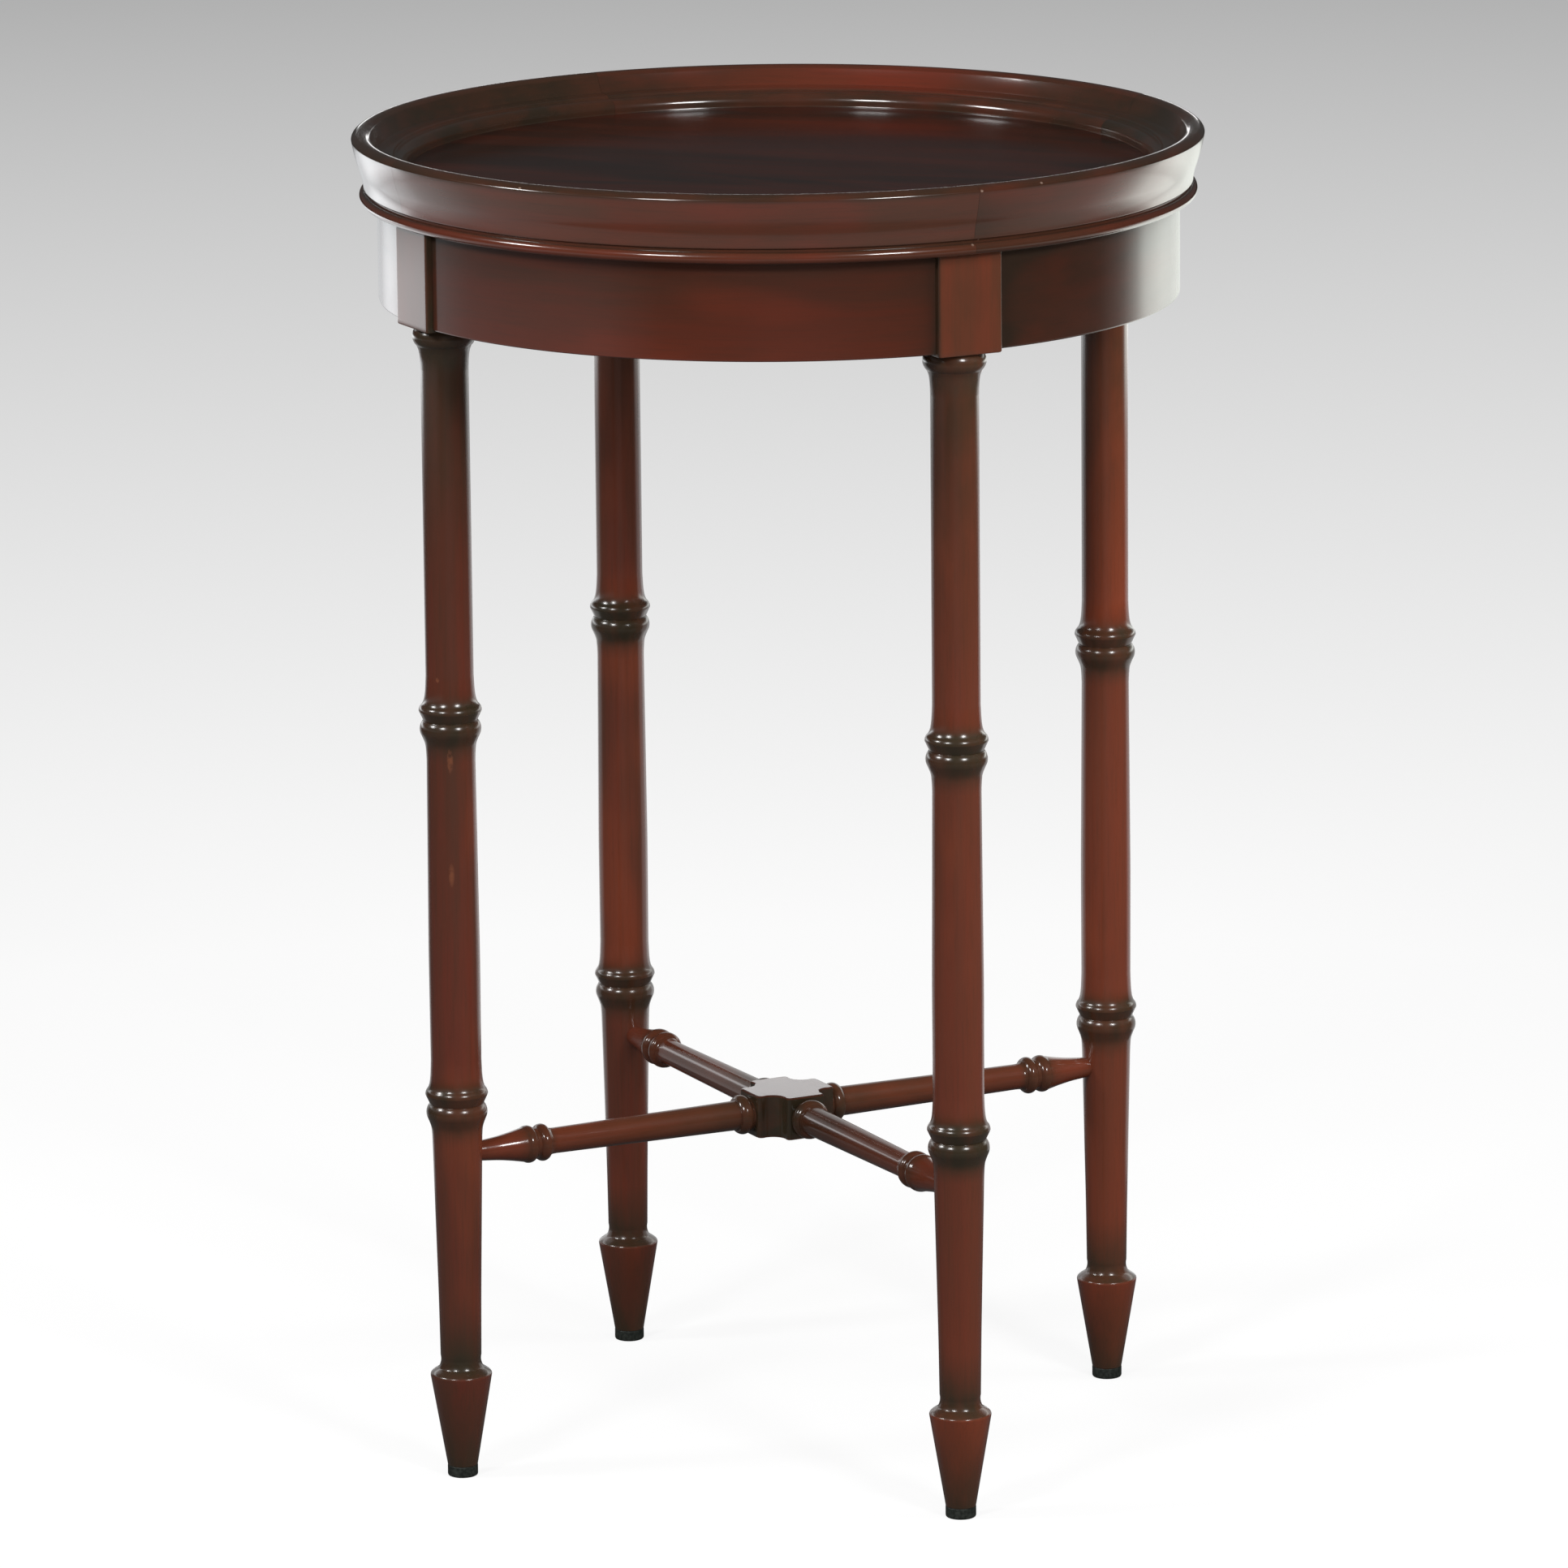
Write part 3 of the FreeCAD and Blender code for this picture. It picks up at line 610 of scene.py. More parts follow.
# Painted shadow under the rim on the apron: how dark it is, how far below the top it starts and how fast it
# fades.
under_rim_shadow = 0.45
under_rim_drop = 0.003
under_rim_fade = 0.007
low_edge_glaze = 0.1
low_edge_fade = 0.001
side_shade = [0.0, 0.55, 0.2, 0.1]
apron_warmth = 0.6
apron_warmth_fade = 0.012
apron_wood_start = 50
apron_blank_step = 1.7
apron_red = (0.096, 0.0205, 0.0104, 1)
apron_brown = (0.062, 0.022, 0.0125, 1)
apron_ember = (0.130, 0.025, 0.012, 1)
apron_dark = (0.033, 0.019, 0.012, 1)


def bent_rings(section, reach, steps):
    """Sections along a quarter ring, whose ends stop short of the leg lines by reach."""
    rings = []
    for step in range(steps + 1):
        share = step / steps
        ring = []
        for radius, height in section:
            stop = math.asin(reach / radius)
            turn = stop + (math.pi / 2 - 2 * stop) * share
            ring.append(Vector((radius * math.cos(turn), radius * math.sin(turn), height)))
        rings.append(ring)
    return rings


def apron_section():
    outline = Outline(apron_inner_radius, apron_high.z)
    outline.line(apron_inner_radius, apron_low.z, crisp_edge)
    outline.line(apron_radius, apron_low.z, apron_ease)
    outline.line(apron_radius, (apron_low.z + apron_high.z) / 2, crisp_edge)
    outline.line(apron_radius, apron_high.z)
    return outline.eased()


def apron_glaze_and_shadow(point):
    turn = math.atan2(point.y, point.x)
    to_leg = max(0.0, min(turn, math.pi / 2 - turn) * apron_radius - block_half)
    under_rim = max(0.0, apron_high.z - under_rim_drop - point.z)
    at_leg = joint_glaze * math.exp(-to_leg / joint_glaze_fade)
    at_leg += beside_joint_glaze * math.exp(-to_leg / beside_joint_fade)
    # A shadow under the rim, painted as darker colour at the apron's top.
    shadow_under_rim = under_rim_shadow * math.exp(-under_rim / under_rim_fade)
    at_bottom = low_edge_glaze * math.exp(-(point.z - apron_low.z) / low_edge_fade)
    return at_leg + shadow_under_rim + at_bottom


apron_finish = lacquered_mahogany("apron_lacquer", apron_red, apron_brown, apron_ember, apron_dark, gloss=0.3)
for index, side_name in enumerate(side_names):
    mesh = skinned("apron_" + side_name, bent_rings(apron_section(), block_half + joint_gap, rail_steps))
    wood_start = apron_wood_start + index * apron_blank_step
    grained(mesh, lambda p: (math.atan2(p.y, p.x) * apron_radius + wood_start, p.xy.length, p.z),
            lambda p: min(1.0, apron_glaze_and_shadow(p) + side_shade[index]),
            lambda p: apron_warmth * math.exp(-(p.z - apron_low.z) / apron_warmth_fade))
    mesh.transform(Matrix.Rotation(leg_turns[index], 4, "Z"))
    shown("bent_apron_" + side_name, mesh, apron_finish, "apron_mahogany", "apron_segment_" + side_name)


# The tray panel: a round board, faced with dark mahogany veneer and rebated at the edge for the rim.
# It is lacquered nearly black-brown, with soft straight figure across it.
panel_low, panel_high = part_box("tray_panel")
panel_radius = 0.187
tray_radius = 0.1802
rim_lip = 0.005
rebate_height = panel_high.z - rim_lip
panel_sides = 256
panel_edge_band = 0.002
panel_wood_start = 71
veneer_dark = (0.018, 0.007, 0.005, 1)
veneer_red = (0.052, 0.011, 0.006, 1)
veneer_stripe = (0.016, 0.009, 0.008, 1)
veneer_pore = (0.010, 0.006, 0.005, 1)


def veneered():
    finish = Finish("tray_veneer_lacquer")
    wood = finish.read("wood")
    figure = finish.cloud(finish.stretched(wood, 5, 24, 24), detail=4.0, roughness=0.6, distortion=0.8)
    stripes = finish.cloud(finish.stretched(wood, 9, 190, 190), detail=4.0, roughness=0.6)
    pores = finish.cloud(finish.stretched(wood, 120, 2200, 2200), detail=2.0)
    tone = finish.mixed(finish.spread(figure, 0.35, 0.65), veneer_dark, veneer_red)
    tone = finish.mixed(finish.spread(stripes, 0.4, 0.72, 0.0, 0.5), tone, veneer_stripe)
    tone = finish.mixed(finish.spread(pores, 0.6, 0.75, 0.0, 0.4), tone, veneer_pore)
    smear = finish.cloud(finish.stretched(wood, 14, 20, 20))
    finish.coat(Base_Color=tone, Roughness=finish.spread(smear, 0.3, 0.7, 0.13, 0.17), IOR=1.4)
    finish.bumped(pores, 0.00002, 0.1)
    return finish.material


outline = Outline(panel_radius - crisp_edge, panel_low.z)
outline.line(panel_radius, panel_low.z, crisp_edge)
outline.line(panel_radius, rebate_height, crisp_edge)
outline.line(tray_radius - joint_gap, rebate_height, crisp_edge)
outline.line(tray_radius - joint_gap, panel_high.z, crisp_edge)
outline.line(tray_radius - panel_edge_band, panel_high.z)
mesh = skinned("tray_board", turned_rings(outline, panel_sides))
note(mesh, "wood", "FLOAT_VECTOR", [(v.co.x + panel_wood_start, v.co.y, v.co.z) for v in mesh.vertices])
shown("tray_board", mesh, veneered(), "tray_veneer", "tray_panel")


# The rim: four quarters of mahogany moulding, mitred over the legs and dowelled end to end. Its lip
# sits in the panel's rebate. Outside it flares up to a half-round lip over a bead, and inside it falls
# by a cove and a step to the tray. The lacquer has rubbed through in specks on the lip and the joints.
rim_low, rim_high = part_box("rim_segment_front")
rim_radius = 0.2087
rim_bottom = rim_low.z
lip_top = rim_high.z
rim_steps = 128
rim_gap = 0.00005
bead_inset = 0.0056
bead_height = 0.0056
bead_bulge = 0.0021
quirk_size = 0.001
face_foot_rise = 0.0007 + quirk_size
face_turn_inset = 0.0035
face_turn_rise = 0.0166
face_hollow = 0.00035
face_swell = 0.0003
nose_inset = 0.0007
nose_rise = 0.0013
nose_bulge = 0.00015
crest_width = 0.0082
crest_swell = 0.0016
crest_edge_ease = 0.0016
cove_width = 0.0043
cove_height = 0.0077
cove_hollow = 0.0002
fillet_width = 0.0002
fillet_height = 0.0004
shelf_width = 0.0073
shelf_fall = 0.0006
step_width = 0.0006
step_fall = 0.0013
step_shelf = 0.002
wall_bulge = 0.00145
wall_stand = 0.0021
wall_foot_out = 0.0002
wall_foot_rise = 0.00055

quirk_glaze = 0.9
quirk_fade = 0.0016
# Painted light and shade on the rim: reddest round this turn, with painted shade growing toward the far ends
# over this width.
lit_back_turn = math.radians(96)
shade_spread_width = 0.45
cove_glaze = 0.05
far_cove_shade = 0.85
wall_glaze = 0.75
wall_glaze_rise = 0.0075
wall_fade = 0.001
tray_glaze = 0.9
tray_fade = 0.003
crest_glaze = 0.35
far_crest_shade = 0.4
crest_glaze_drop = 0.0028
crest_fade = 0.0012
right_glaze = 0.25
right_joint_glaze = 0.35
right_joint_fade = 0.03
# Painted light: the back quarter is made redder where the light falls on its inside.
back_painted_light = 0.5
face_foot_warmth = 0.6
face_foot_fade = 0.004
rim_wood_starts = {"front": 90.0, "right": 92.3, "back": 94.6, "left": 96.9}
rim_red = (0.122, 0.029, 0.0135, 1)
rim_brown = (0.083, 0.030, 0.0155, 1)
rim_ember = (0.160, 0.027, 0.013, 1)
rim_dark = (0.031, 0.020, 0.012, 1)
chipped_wood = (0.45, 0.32, 0.25, 1)
# Chips in the lacquer: the quarter, the way along it, the radius, the height and the size each way.
chips = [
    ("right", 0.0012, 0.2087, 0.6576, (0.0010, 0.0030, 0.0008)),
    ("front", 0.3261, 0.2040, 0.6313, (0.0009, 0.0030, 0.0008)),
    ("right", 0.0025, 0.2040, 0.6333, (0.0008, 0.0030, 0.0006)),
    ("front", 0.0980, 0.2080, 0.6582, (0.0012, 0.0030, 0.0006)),
    ("right", 0.0353, 0.2080, 0.6582, (0.0010, 0.0030, 0.0006)),
]


def rim_section():
    """The moulding, from the panel out over the bead, up the face, over the crest and down inside."""
    root_radius = rim_radius - bead_inset
    quirk = rim_bottom + bead_height
    crest_edge = lip_top - crest_swell
    crest_inner_radius = rim_radius - nose_inset - crest_width
    shelf_radius = crest_inner_radius - cove_width
    shelf = crest_edge - cove_height
    step_radius = shelf_radius - shelf_width
    step = shelf - shelf_fall
    outline = Outline(panel_radius + joint_gap, rim_bottom)
    outline.line(root_radius, rim_bottom)
    outline.bow(root_radius, quirk, bead_bulge, steps=16)
    outline.line(root_radius - quirk_size, quirk)
    outline.line(root_radius - quirk_size, quirk + quirk_size)
    outline.line(root_radius, quirk + face_foot_rise, crisp_edge)
    outline.bow(rim_radius - face_turn_inset, rim_bottom + face_turn_rise, -face_hollow, steps=10)
    outline.bow(rim_radius, crest_edge - nose_rise, face_swell, steps=10)
    outline.bow(rim_radius - nose_inset, crest_edge, nose_bulge, steps=6)
    crest_round = (crest_width ** 2 / 4 + crest_swell ** 2) / (2 * crest_swell)
    from_middle = crest_width / 2 - crest_edge_ease
    ease_height = lip_top - crest_round + math.sqrt(crest_round ** 2 - from_middle ** 2)
    chord = math.hypot(crest_width - crest_edge_ease, ease_height - crest_edge)
    crest_rise = crest_round - math.sqrt(crest_round ** 2 - chord ** 2 / 4)
    outline.bow(crest_inner_radius + crest_edge_ease, ease_height, crest_rise, steps=20)
    outline.line(crest_inner_radius, crest_edge, crest_edge_ease)
    outline.bow(shelf_radius + fillet_width, shelf + fillet_height, -cove_hollow, steps=16)
    outline.line(shelf_radius, shelf)
    outline.line(step_radius, step, soft_edge)
    outline.line(step_radius - step_width, step - step_fall, crisp_edge)
    outline.line(step_radius - step_width - step_shelf, step - step_fall, crisp_edge)
    outline.bow(tray_radius + wall_foot_out, panel_high.z + wall_stand, wall_bulge, steps=14)
    outline.line(tray_radius + wall_foot_out, panel_high.z + wall_foot_rise)
    outline.line(tray_radius, panel_high.z, crisp_edge)
    outline.line(tray_radius, rebate_height)
    outline.line(panel_radius + joint_gap, rebate_height)
    return outline.eased()


def rim_glaze_and_shade(point, side_name):
    """The glaze is dark in the quirk, on the crest and down the wall inside. Painted shade darkens the crest
    and the inside toward the far ends, and is thin at the back, where painted light makes it reddest.
    """
    place = Vector((point.xy.length, point.z))
    turn = math.atan2(point.y, point.x)
    quirk_place = Vector((rim_radius - bead_inset, rim_bottom + bead_height + quirk_size / 2))
    in_quirk = math.exp(-((place - quirk_place).length / quirk_fade) ** 2)
    from_lit_back = abs(turn + leg_turns[side_names.index(side_name)] - lit_back_turn)
    shade_toward_ends = 1 - math.exp(-(from_lit_back / shade_spread_width) ** 2)
    if place.x < rim_radius - nose_inset - crest_width:
        cove = cove_glaze + far_cove_shade * shade_toward_ends
        on_wall = min(1.0, math.exp(-(place.y - panel_high.z - wall_glaze_rise) / wall_fade))
        at_tray = math.exp(-max(0.0, place.y - panel_high.z) / tray_fade)
        return max(cove, wall_glaze * on_wall, tray_glaze * at_tray)
    below_crest = max(0.0, lip_top - crest_glaze_drop - place.y)
    on_crest = (crest_glaze + far_crest_shade * shade_toward_ends) * math.exp(-below_crest / crest_fade)
    all_over = 0.0
    if side_name == "right":
        all_over = right_glaze + right_joint_glaze * math.exp(-turn * rim_radius / right_joint_fade)
    return max(quirk_glaze * in_quirk, on_crest, all_over)


def rim_warmth(point, side_name):
    """Painted light makes the back quarter reddest, and the wood shows reddest at the foot of the face in
    front.
    """
    if side_name == "back":
        return back_painted_light
    if side_name != "front":
        return 0.0
    above_quirk = max(0.0, point.z - rim_bottom - bead_height - quirk_size)
    toward_joint = math.atan2(point.y, point.x) / (math.pi / 2)
    return face_foot_warmth * (1 - toward_joint) * math.exp(-(above_quirk / face_foot_fade) ** 2)


rim_chips = [((rim_wood_starts[side_name] + along, radius, height), size)
             for side_name, along, radius, height, size in chips]
rim_finish = lacquered_mahogany("rim_lacquer", rim_red, rim_brown, rim_ember, rim_dark, scuffs=rim_chips,
                                bare_wood=chipped_wood)
for index, side_name in enumerate(side_names):
    mesh = skinned("rim_" + side_name, bent_rings(rim_section(), rim_gap, rim_steps))
    wood_start = rim_wood_starts[side_name]
    grained(mesh, lambda p: (math.atan2(p.y, p.x) * rim_radius + wood_start, p.xy.length, p.z),
            lambda p: rim_glaze_and_shade(p, side_name), lambda p: rim_warmth(p, side_name))
    mesh.transform(Matrix.Rotation(leg_turns[index], 4, "Z"))
    shown("moulded_rim_" + side_name, mesh, rim_finish, "rim_mahogany", "rim_segment_" + side_name)


# Four glides of hard dark plastic under the feet, 15 mm across. Each is moulded with a hollow for the
# head of the nail that holds it, and scuffed dull by the floor.
glide_low, glide_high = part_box("foot_glide_front_left")
glide_radius = (glide_high.x - glide_low.x) / 2
glide_edge = 0.0012
nail_hollow_radius = 0.0033
nail_hollow_depth = 0.0014


def hard_plastic():
    finish = Finish("glide_plastic_dark")
    place = finish.node("TexCoord").outputs["Object"]
    scuffs = finish.cloud(place, scale=700.0, detail=4.0)
    tone = finish.mixed(finish.spread(scuffs, 0.35, 0.7), (0.012, 0.015, 0.012, 1), (0.035, 0.040, 0.034, 1))
    finish.coat(Base_Color=tone, Roughness=finish.spread(scuffs, 0.3, 0.7, 0.38, 0.6))
    finish.bumped(scuffs, 0.00005, 0.4)
    return finish.material


glide_finish = hard_plastic()
for leg_name in leg_names:
    outline = Outline(nail_hollow_radius, glide_low.z + nail_hollow_depth)
    outline.line(nail_hollow_radius, glide_low.z, crisp_edge)
    outline.line(glide_radius, glide_low.z, glide_edge)
    outline.line(glide_radius, glide_high.z, crisp_edge)
    outline.line(glide_radius - soft_edge, glide_high.z)
    mesh = skinned("glide_" + leg_name, turned_rings(outline))
    mesh.transform(Matrix.Translation(foot_place(leg_name)))
    shown("plastic_glide_" + leg_name, mesh, glide_finish, "glide_plastic", "foot_glide_" + leg_name)


# Inside the apron: four corner blocks of pale unfinished hardwood, sawn to fit behind the legs.
# Beech dowels join the apron and the rim, and zinc-plated screws, bolts, washers, nuts and nails
# pull it all together. These stay as they were built and only get their finish.
def bare_hardwood(name, pale, tan, end):
    finish = Finish(name)
    place = finish.node("TexCoord").outputs["Object"]
    bands = finish.cloud(finish.stretched(place, 16, 90, 90), detail=4.0, roughness=0.6, distortion=0.5)
    fibres = finish.cloud(finish.stretched(place, 60, 1500, 1500))
    tone = finish.mixed(finish.spread(bands, 0.3, 0.7), pale, tan)
    tone = finish.mixed(finish.spread(fibres, 0.5, 0.75, 0.0, 0.5), tone, end)
    finish.coat(Base_Color=tone, Roughness=finish.spread(fibres, 0.3, 0.7, 0.6, 0.8))
    finish.bumped(fibres, 0.0001, 0.5)
    return finish.material


def zinc_plate():
    finish = Finish("zinc_plate")
    place = finish.node("TexCoord").outputs["Object"]
    spangle = finish.cloud(place, scale=900.0)
    tone = finish.mixed(finish.spread(spangle, 0.3, 0.7), (0.50, 0.51, 0.50, 1), (0.66, 0.65, 0.60, 1))
    finish.coat(Base_Color=tone, Metallic=1.0, Roughness=finish.spread(spangle, 0.3, 0.7, 0.28, 0.45))
    finish.bumped(spangle, 0.00003, 0.3)
    return finish.material


def refinish(material, *nodes):
    for node in nodes:
        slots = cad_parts[node].data.materials
        slots.clear()
        slots.append(material)


block_wood = bare_hardwood("corner_block_wood", (0.46, 0.30, 0.17, 1), (0.33, 0.20, 0.11, 1),
                           (0.24, 0.14, 0.07, 1))
refinish(block_wood, *["corner_block_" + leg_name for leg_name in leg_names])
refinish(bare_hardwood("beech_dowel", (0.62, 0.44, 0.28, 1), (0.50, 0.33, 0.19, 1), (0.36, 0.22, 0.12, 1)),
         "apron_dowels", "rim_dowels")
refinish(zinc_plate(), "glide_nails", "hanger_bolts", "hanger_bolt_washers", "hanger_bolt_nuts",
         "corner_block_screws", "top_screws")


# The room: a pale floor that fades to grey behind the table, and glowing cards and sheets that stand
# round the table to show in its lacquer. Three small lamps and four fills light it from the front,
# both sides and above. The camera stands at the photograph's place.
camera_place = Vector((1.513257, -4.676121, 1.435734))
camera_tilt = 0.221224
camera_roll = -0.0095085
camera_lens = 233.05
farthest_seen = 60

forward_flat = Vector((-camera_place.x, -camera_place.y, 0)).normalized()
rightward = Vector((forward_flat.y, -forward_flat.x, 0))
sight = forward_flat * math.cos(camera_tilt) - Vector((0, 0, math.sin(camera_tilt)))
upward = rightward.cross(sight)
camera_x = rightward * math.cos(camera_roll) + upward * math.sin(camera_roll)
camera_y = upward * math.cos(camera_roll) - rightward * math.sin(camera_roll)
camera_turn = Matrix((camera_x, camera_y, -sight)).transposed().to_4x4()
lens = bpy.data.cameras.new("camera")
lens.lens = camera_lens
lens.clip_end = farthest_seen
camera = bpy.data.objects.new("camera", lens)
camera.matrix_world = Matrix.Translation(camera_place) @ camera_turn
bpy.context.scene.collection.objects.link(camera)
bpy.context.scene.camera = camera


def round_table(turn, distance, height):
    """A place by its turn in degrees from the camera toward the right, distance and height."""
    turn = math.radians(turn)
    return (rightward * math.sin(turn) - forward_flat * math.cos(turn)) * distance + Vector((0, 0, height))


def soft_box(name, place, aim_height, width, height, watts, seen=True, spread=True, lit=None):
    """A glowing rectangle that faces the table's axis. What is seen shows in the lacquer, and what is
    spread lights the wood under it. Where a collection is lit, it lights nothing else."""
    light = bpy.data.lights.new(name, "AREA")
    light.shape = "RECTANGLE"
    light.size = width
    light.size_y = height
    light.energy = watts
    lamp = bpy.data.objects.new(name, light)
    lamp.location = place
    lamp.rotation_euler = (Vector((0, 0, aim_height)) - place).to_track_quat("-Z", "Y").to_euler()
    lamp.visible_camera = False
    lamp.visible_glossy = seen
    lamp.visible_diffuse = spread
    lamp.light_linking.receiver_collection = lit
    bpy.context.scene.collection.objects.link(lamp)


def gathered(name, *starts):
    """The pieces whose names start so, for a light that falls on them alone."""
    collection = bpy.data.collections.new(name)
    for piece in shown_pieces():
        if piece.name.startswith(starts):
            collection.objects.link(piece)
    return collection


left_quarters = ("moulded_rim_front", "moulded_rim_left", "bent_apron_front", "bent_apron_left")
right_quarters = ("moulded_rim_right", "bent_apron_right")
near_rim = gathered("near_rim", "moulded_rim_front", "moulded_rim_left", "moulded_rim_right")
left_curves = gathered("left_curves", *left_quarters)
right_curves = gathered("right_curves", *right_quarters)
left_side = gathered("left_side", *left_quarters, "turned")
right_side = gathered("right_side", *right_quarters, "turned")
turned_parts = gathered("turned_parts", "turned")
stretcher_hub = gathered("stretcher_hub", "hub_block")

card_step = 3


def summed(paint, first, second):
    both = paint.node("AddShader")
    paint.feed(both.inputs[0], first.outputs[0])
    paint.feed(both.inputs[1], second.outputs[0])
    return both.outputs[0]


def show(paint, shader):
    paint.feed(paint.tree.nodes["Material Output"].inputs["Surface"], shader)


def curved_card(name, distance, levels, edges, tint, lit):
    """A glowing strip round the table, by its glow at a few turns in degrees and, for each edge,
    its height and its share of the glow. Light from behind it passes through."""
    first, last = levels[0][0], levels[-1][0]
    count = int(abs(last - first) / card_step)
    corners, faces, glows = [], [], []
    for step in range(count + 1):
        turn = first + (last - first) * step / count
        for (low_turn, low), (high_turn, high) in zip(levels, levels[1:]):
            if min(low_turn, high_turn) <= turn <= max(low_turn, high_turn):
                glow = low + (high - low) * (turn - low_turn) / (high_turn - low_turn)
        corners += [round_table(turn, distance, height) for height, share in edges]
        glows += [glow * share for height, share in edges]
    across = len(edges)
    for step in range(count):
        for edge in range(across - 1):
            here = step * across + edge
            faces.append((here, here + across, here + across + 1, here + 1))
    strip = bpy.data.meshes.new(name)
    strip.from_pydata(corners, [], faces)
    note(strip, "glow", "FLOAT", glows)
    paint = Finish(name)
    shine = paint.node("Emission", Color=tint, Strength=paint.read("glow", "Fac"))
    show(paint, summed(paint, shine, paint.node("BsdfTransparent")))
    paint.material.cycles.emission_sampling = "NONE"
    strip.materials.append(paint.material)
    card = bpy.data.objects.new(name, strip)
    card.visible_camera = False
    card.visible_diffuse = False
    card.visible_shadow = False
    card.light_linking.receiver_collection = lit
    bpy.context.scene.collection.objects.link(card)


# The glow of the curved cards at a few turns, where 1 is white.
left_levels = [(-30, 0), (-46, 0.28), (-90, 0.28), (-104, 0.42), (-113.4, 0.9), (-115.4, 2.4), (-126, 2.6),
               (-137, 2.15), (-149, 0.88), (-160, 0.68), (-168, 0.5)]
left_low_levels = [(70, 0.2), (-40, 0.2), (-60, 0.3), (-88, 0.45), (-100, 0.72), (-113.4, 0.88),
                   (-115.4, 1.2), (-126, 1.4), (-137, 1.4), (-149, 0.76), (-160, 0.5), (-168, 0.35)]
right_levels = [(94, 0), (105, 0.3), (112, 1.2), (118, 2.6), (128, 2.3), (140, 1.5), (152, 1.12), (164, 0.83),
                (170, 0.58)]
right_low_levels = [(40, 0.2), (54, 0.22), (80, 0.38), (92, 0.45), (104, 0.95), (116, 2.4), (128, 2.2),
                    (140, 1.45), (152, 1.03), (164, 0.58), (170, 0.42)]
upright = [(0.36, 0), (0.42, 1), (0.48, 1), (0.51, 0)]
low_upright = [(0.0, 1), (0.34, 1), (0.42, 0)]
cool_white = (0.95, 0.98, 1.0, 1)
green_white = (0.96, 1.0, 0.94, 1)
card_distance = 0.9
low_card_distance = 0.91
curved_card("left_card", card_distance, left_levels, upright, cool_white, left_side)
curved_card("left_low_card", low_card_distance, left_low_levels, low_upright, cool_white, left_curves)
curved_card("right_card", card_distance, right_levels, upright, green_white, right_side)
curved_card("right_low_card", low_card_distance, right_low_levels, low_upright, green_white, right_curves)

# Flat cards: turn, distance, height of the middle, width, height, glow where 1 is white, and what is lit.
# The watts are glow times pi times area.
flat_cards = [
    ("hub_card", 180, 2.0, 0.615, 0.9, 0.25, 1.35, stretcher_hub),
    ("crest_card", 180, 2.0, 0.715, 0.9, 0.12, 2.4, near_rim),
    ("left_sheet", -142, 0.55, 0.25, 0.42, 0.5, 0.4, turned_parts),
    ("right_sheet", 138, 0.55, 0.25, 0.46, 0.5, 0.5, turned_parts),
    ("back_sheet", 180, 0.55, 0.25, 0.6, 0.5, 0.5, turned_parts),
]
for name, turn, distance, middle, width, height, level, lit in flat_cards:
    soft_box(name, round_table(turn, distance, middle), middle, width, height,
             level * math.pi * width * height, spread=False, lit=lit)

# Lamps and fills: turn, distance, height, height aimed at, width, watts, if it is seen, and what is lit.
lamps = [
    ("left_lamp", -78, 2.4, 1.9, 0.42, 0.5, 24, True, None),
    ("front_left_lamp", -33, 2.5, 2.0, 0.42, 0.5, 27, True, None),
    ("front_right_lamp", 31, 2.5, 1.9, 0.42, 0.5, 29, True, None),
    ("front_fill", 5, 3.0, 0.9, 0.42, 1.6, 20, False, None),
    ("right_fill", 85, 2.2, 1.0, 0.42, 1.0, 14, False, None),
    ("right_leg_fill", 70, 1.0, 1.0, 0.6, 0.6, 7.5, False, turned_parts),
    ("top_box", 0, 0.2, 3.0, 0.42, 1.4, 12, False, None),
]
for name, turn, distance, height, aim_height, width, watts, seen, lit in lamps:
    soft_box(name, round_table(turn, distance, height), aim_height, width, width, watts, seen=seen, lit=lit)

floor_radius = 14.0
floor_sides = 128
fade_per_metre = 0.111
white_level = 0.979
near_level = 0.86
far_level = 0.3
paper_dark = (0.115, 0.115, 0.115, 1)
paper_pale = (0.125, 0.125, 0.125, 1)
shaded_grey = (0.2, 0.2, 0.2, 1)
backdrop_grey = (0.45, 0.45, 0.45, 1)
dim_sky = 0.05

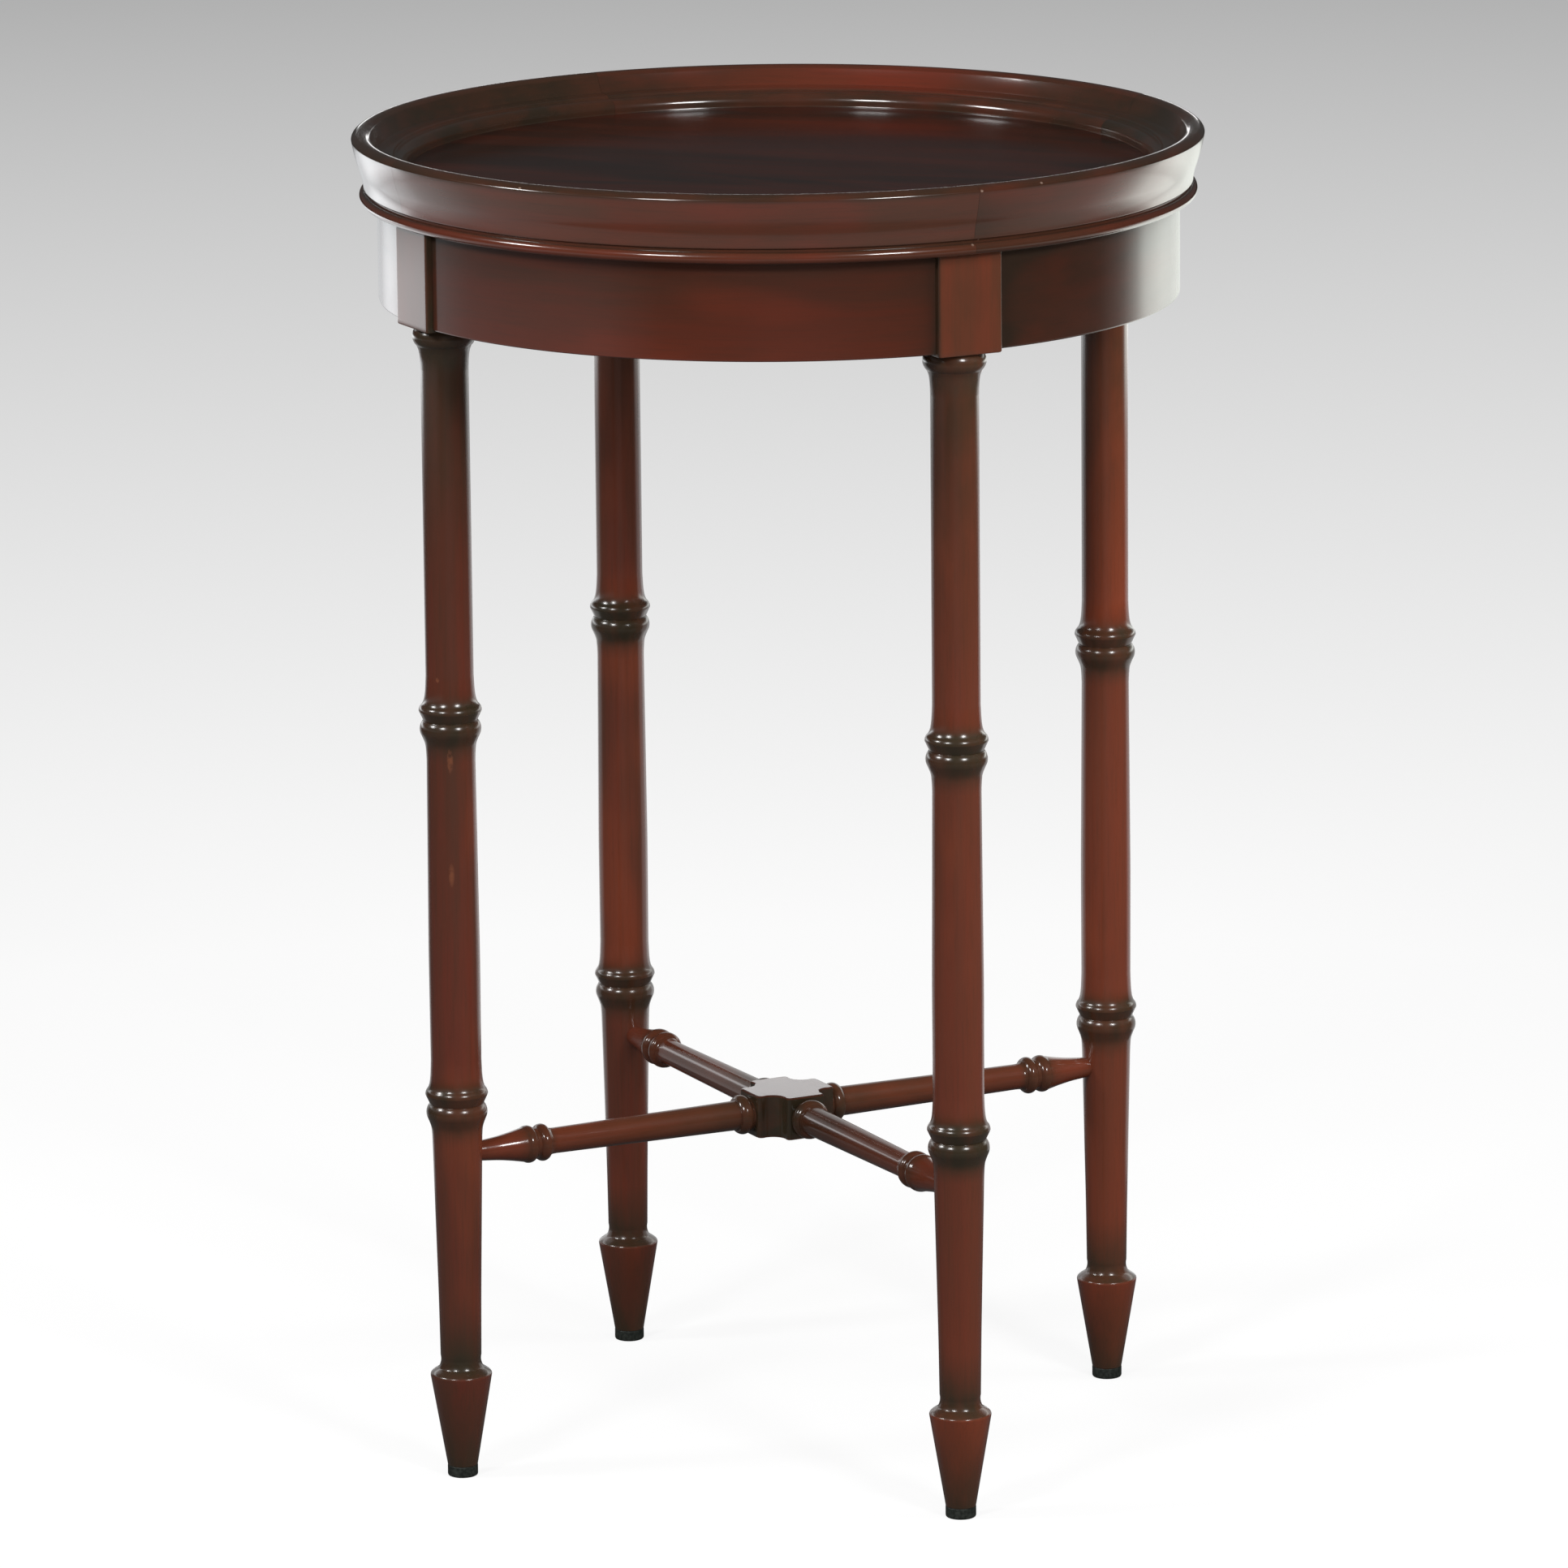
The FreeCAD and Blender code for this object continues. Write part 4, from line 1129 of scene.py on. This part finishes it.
floor_turns = [2 * math.pi * side / floor_sides for side in range(floor_sides)]
floor_corners = [(floor_radius * math.cos(turn), floor_radius * math.sin(turn), 0) for turn in floor_turns]
floor_mesh = bpy.data.meshes.new("floor")
floor_mesh.from_pydata(floor_corners, [], [tuple(range(floor_sides))])
floor = bpy.data.objects.new("floor", floor_mesh)
bpy.context.scene.collection.objects.link(floor)

paper = Finish("floor_paper")
on_floor = paper.node("TexCoord").outputs["Object"]
away = paper.node("VectorMath", {"operation": "LENGTH"}, Vector=on_floor).outputs["Value"]
fade = paper.maths("MULTIPLY_ADD", away, -fade_per_metre, white_level)
glow_level = paper.maths("MAXIMUM", paper.maths("MINIMUM", fade, near_level), far_level)
speckle = paper.spread(paper.cloud(on_floor, scale=60.0), 0.3, 0.7)
paper.coat(Base_Color=paper.mixed(speckle, paper_dark, paper_pale), Roughness=0.9, Specular_IOR_Level=0.1)
glow = paper.node("Emission", Color=(1, 1, 1, 1), Strength=glow_level)
shaded = paper.node("BsdfDiffuse", Color=shaded_grey)
pick = paper.node("MixShader", Fac=paper.node("LightPath").outputs["Is Camera Ray"])
paper.feed(pick.inputs[1], paper.surface.outputs[0])
paper.feed(pick.inputs[2], summed(paper, glow, shaded))
show(paper, pick.outputs[0])
floor_mesh.materials.append(paper.material)

world = bpy.data.worlds.new("room")
bpy.context.scene.world = world
world.use_nodes = True
sky = world.node_tree
dim = sky.nodes["Background"]
dim.inputs["Color"].default_value = (1, 1, 1, 1)
dim.inputs["Strength"].default_value = dim_sky
pale = sky.nodes.new("ShaderNodeBackground")
pale.inputs["Color"].default_value = backdrop_grey
sky_pick = sky.nodes.new("ShaderNodeMixShader")
sky.links.new(sky.nodes.new("ShaderNodeLightPath").outputs["Is Camera Ray"], sky_pick.inputs[0])
sky.links.new(dim.outputs[0], sky_pick.inputs[1])
sky.links.new(pale.outputs[0], sky_pick.inputs[2])
sky.links.new(sky_pick.outputs[0], sky.nodes["World Output"].inputs["Surface"])

bpy.context.scene.view_settings.view_transform = "Standard"
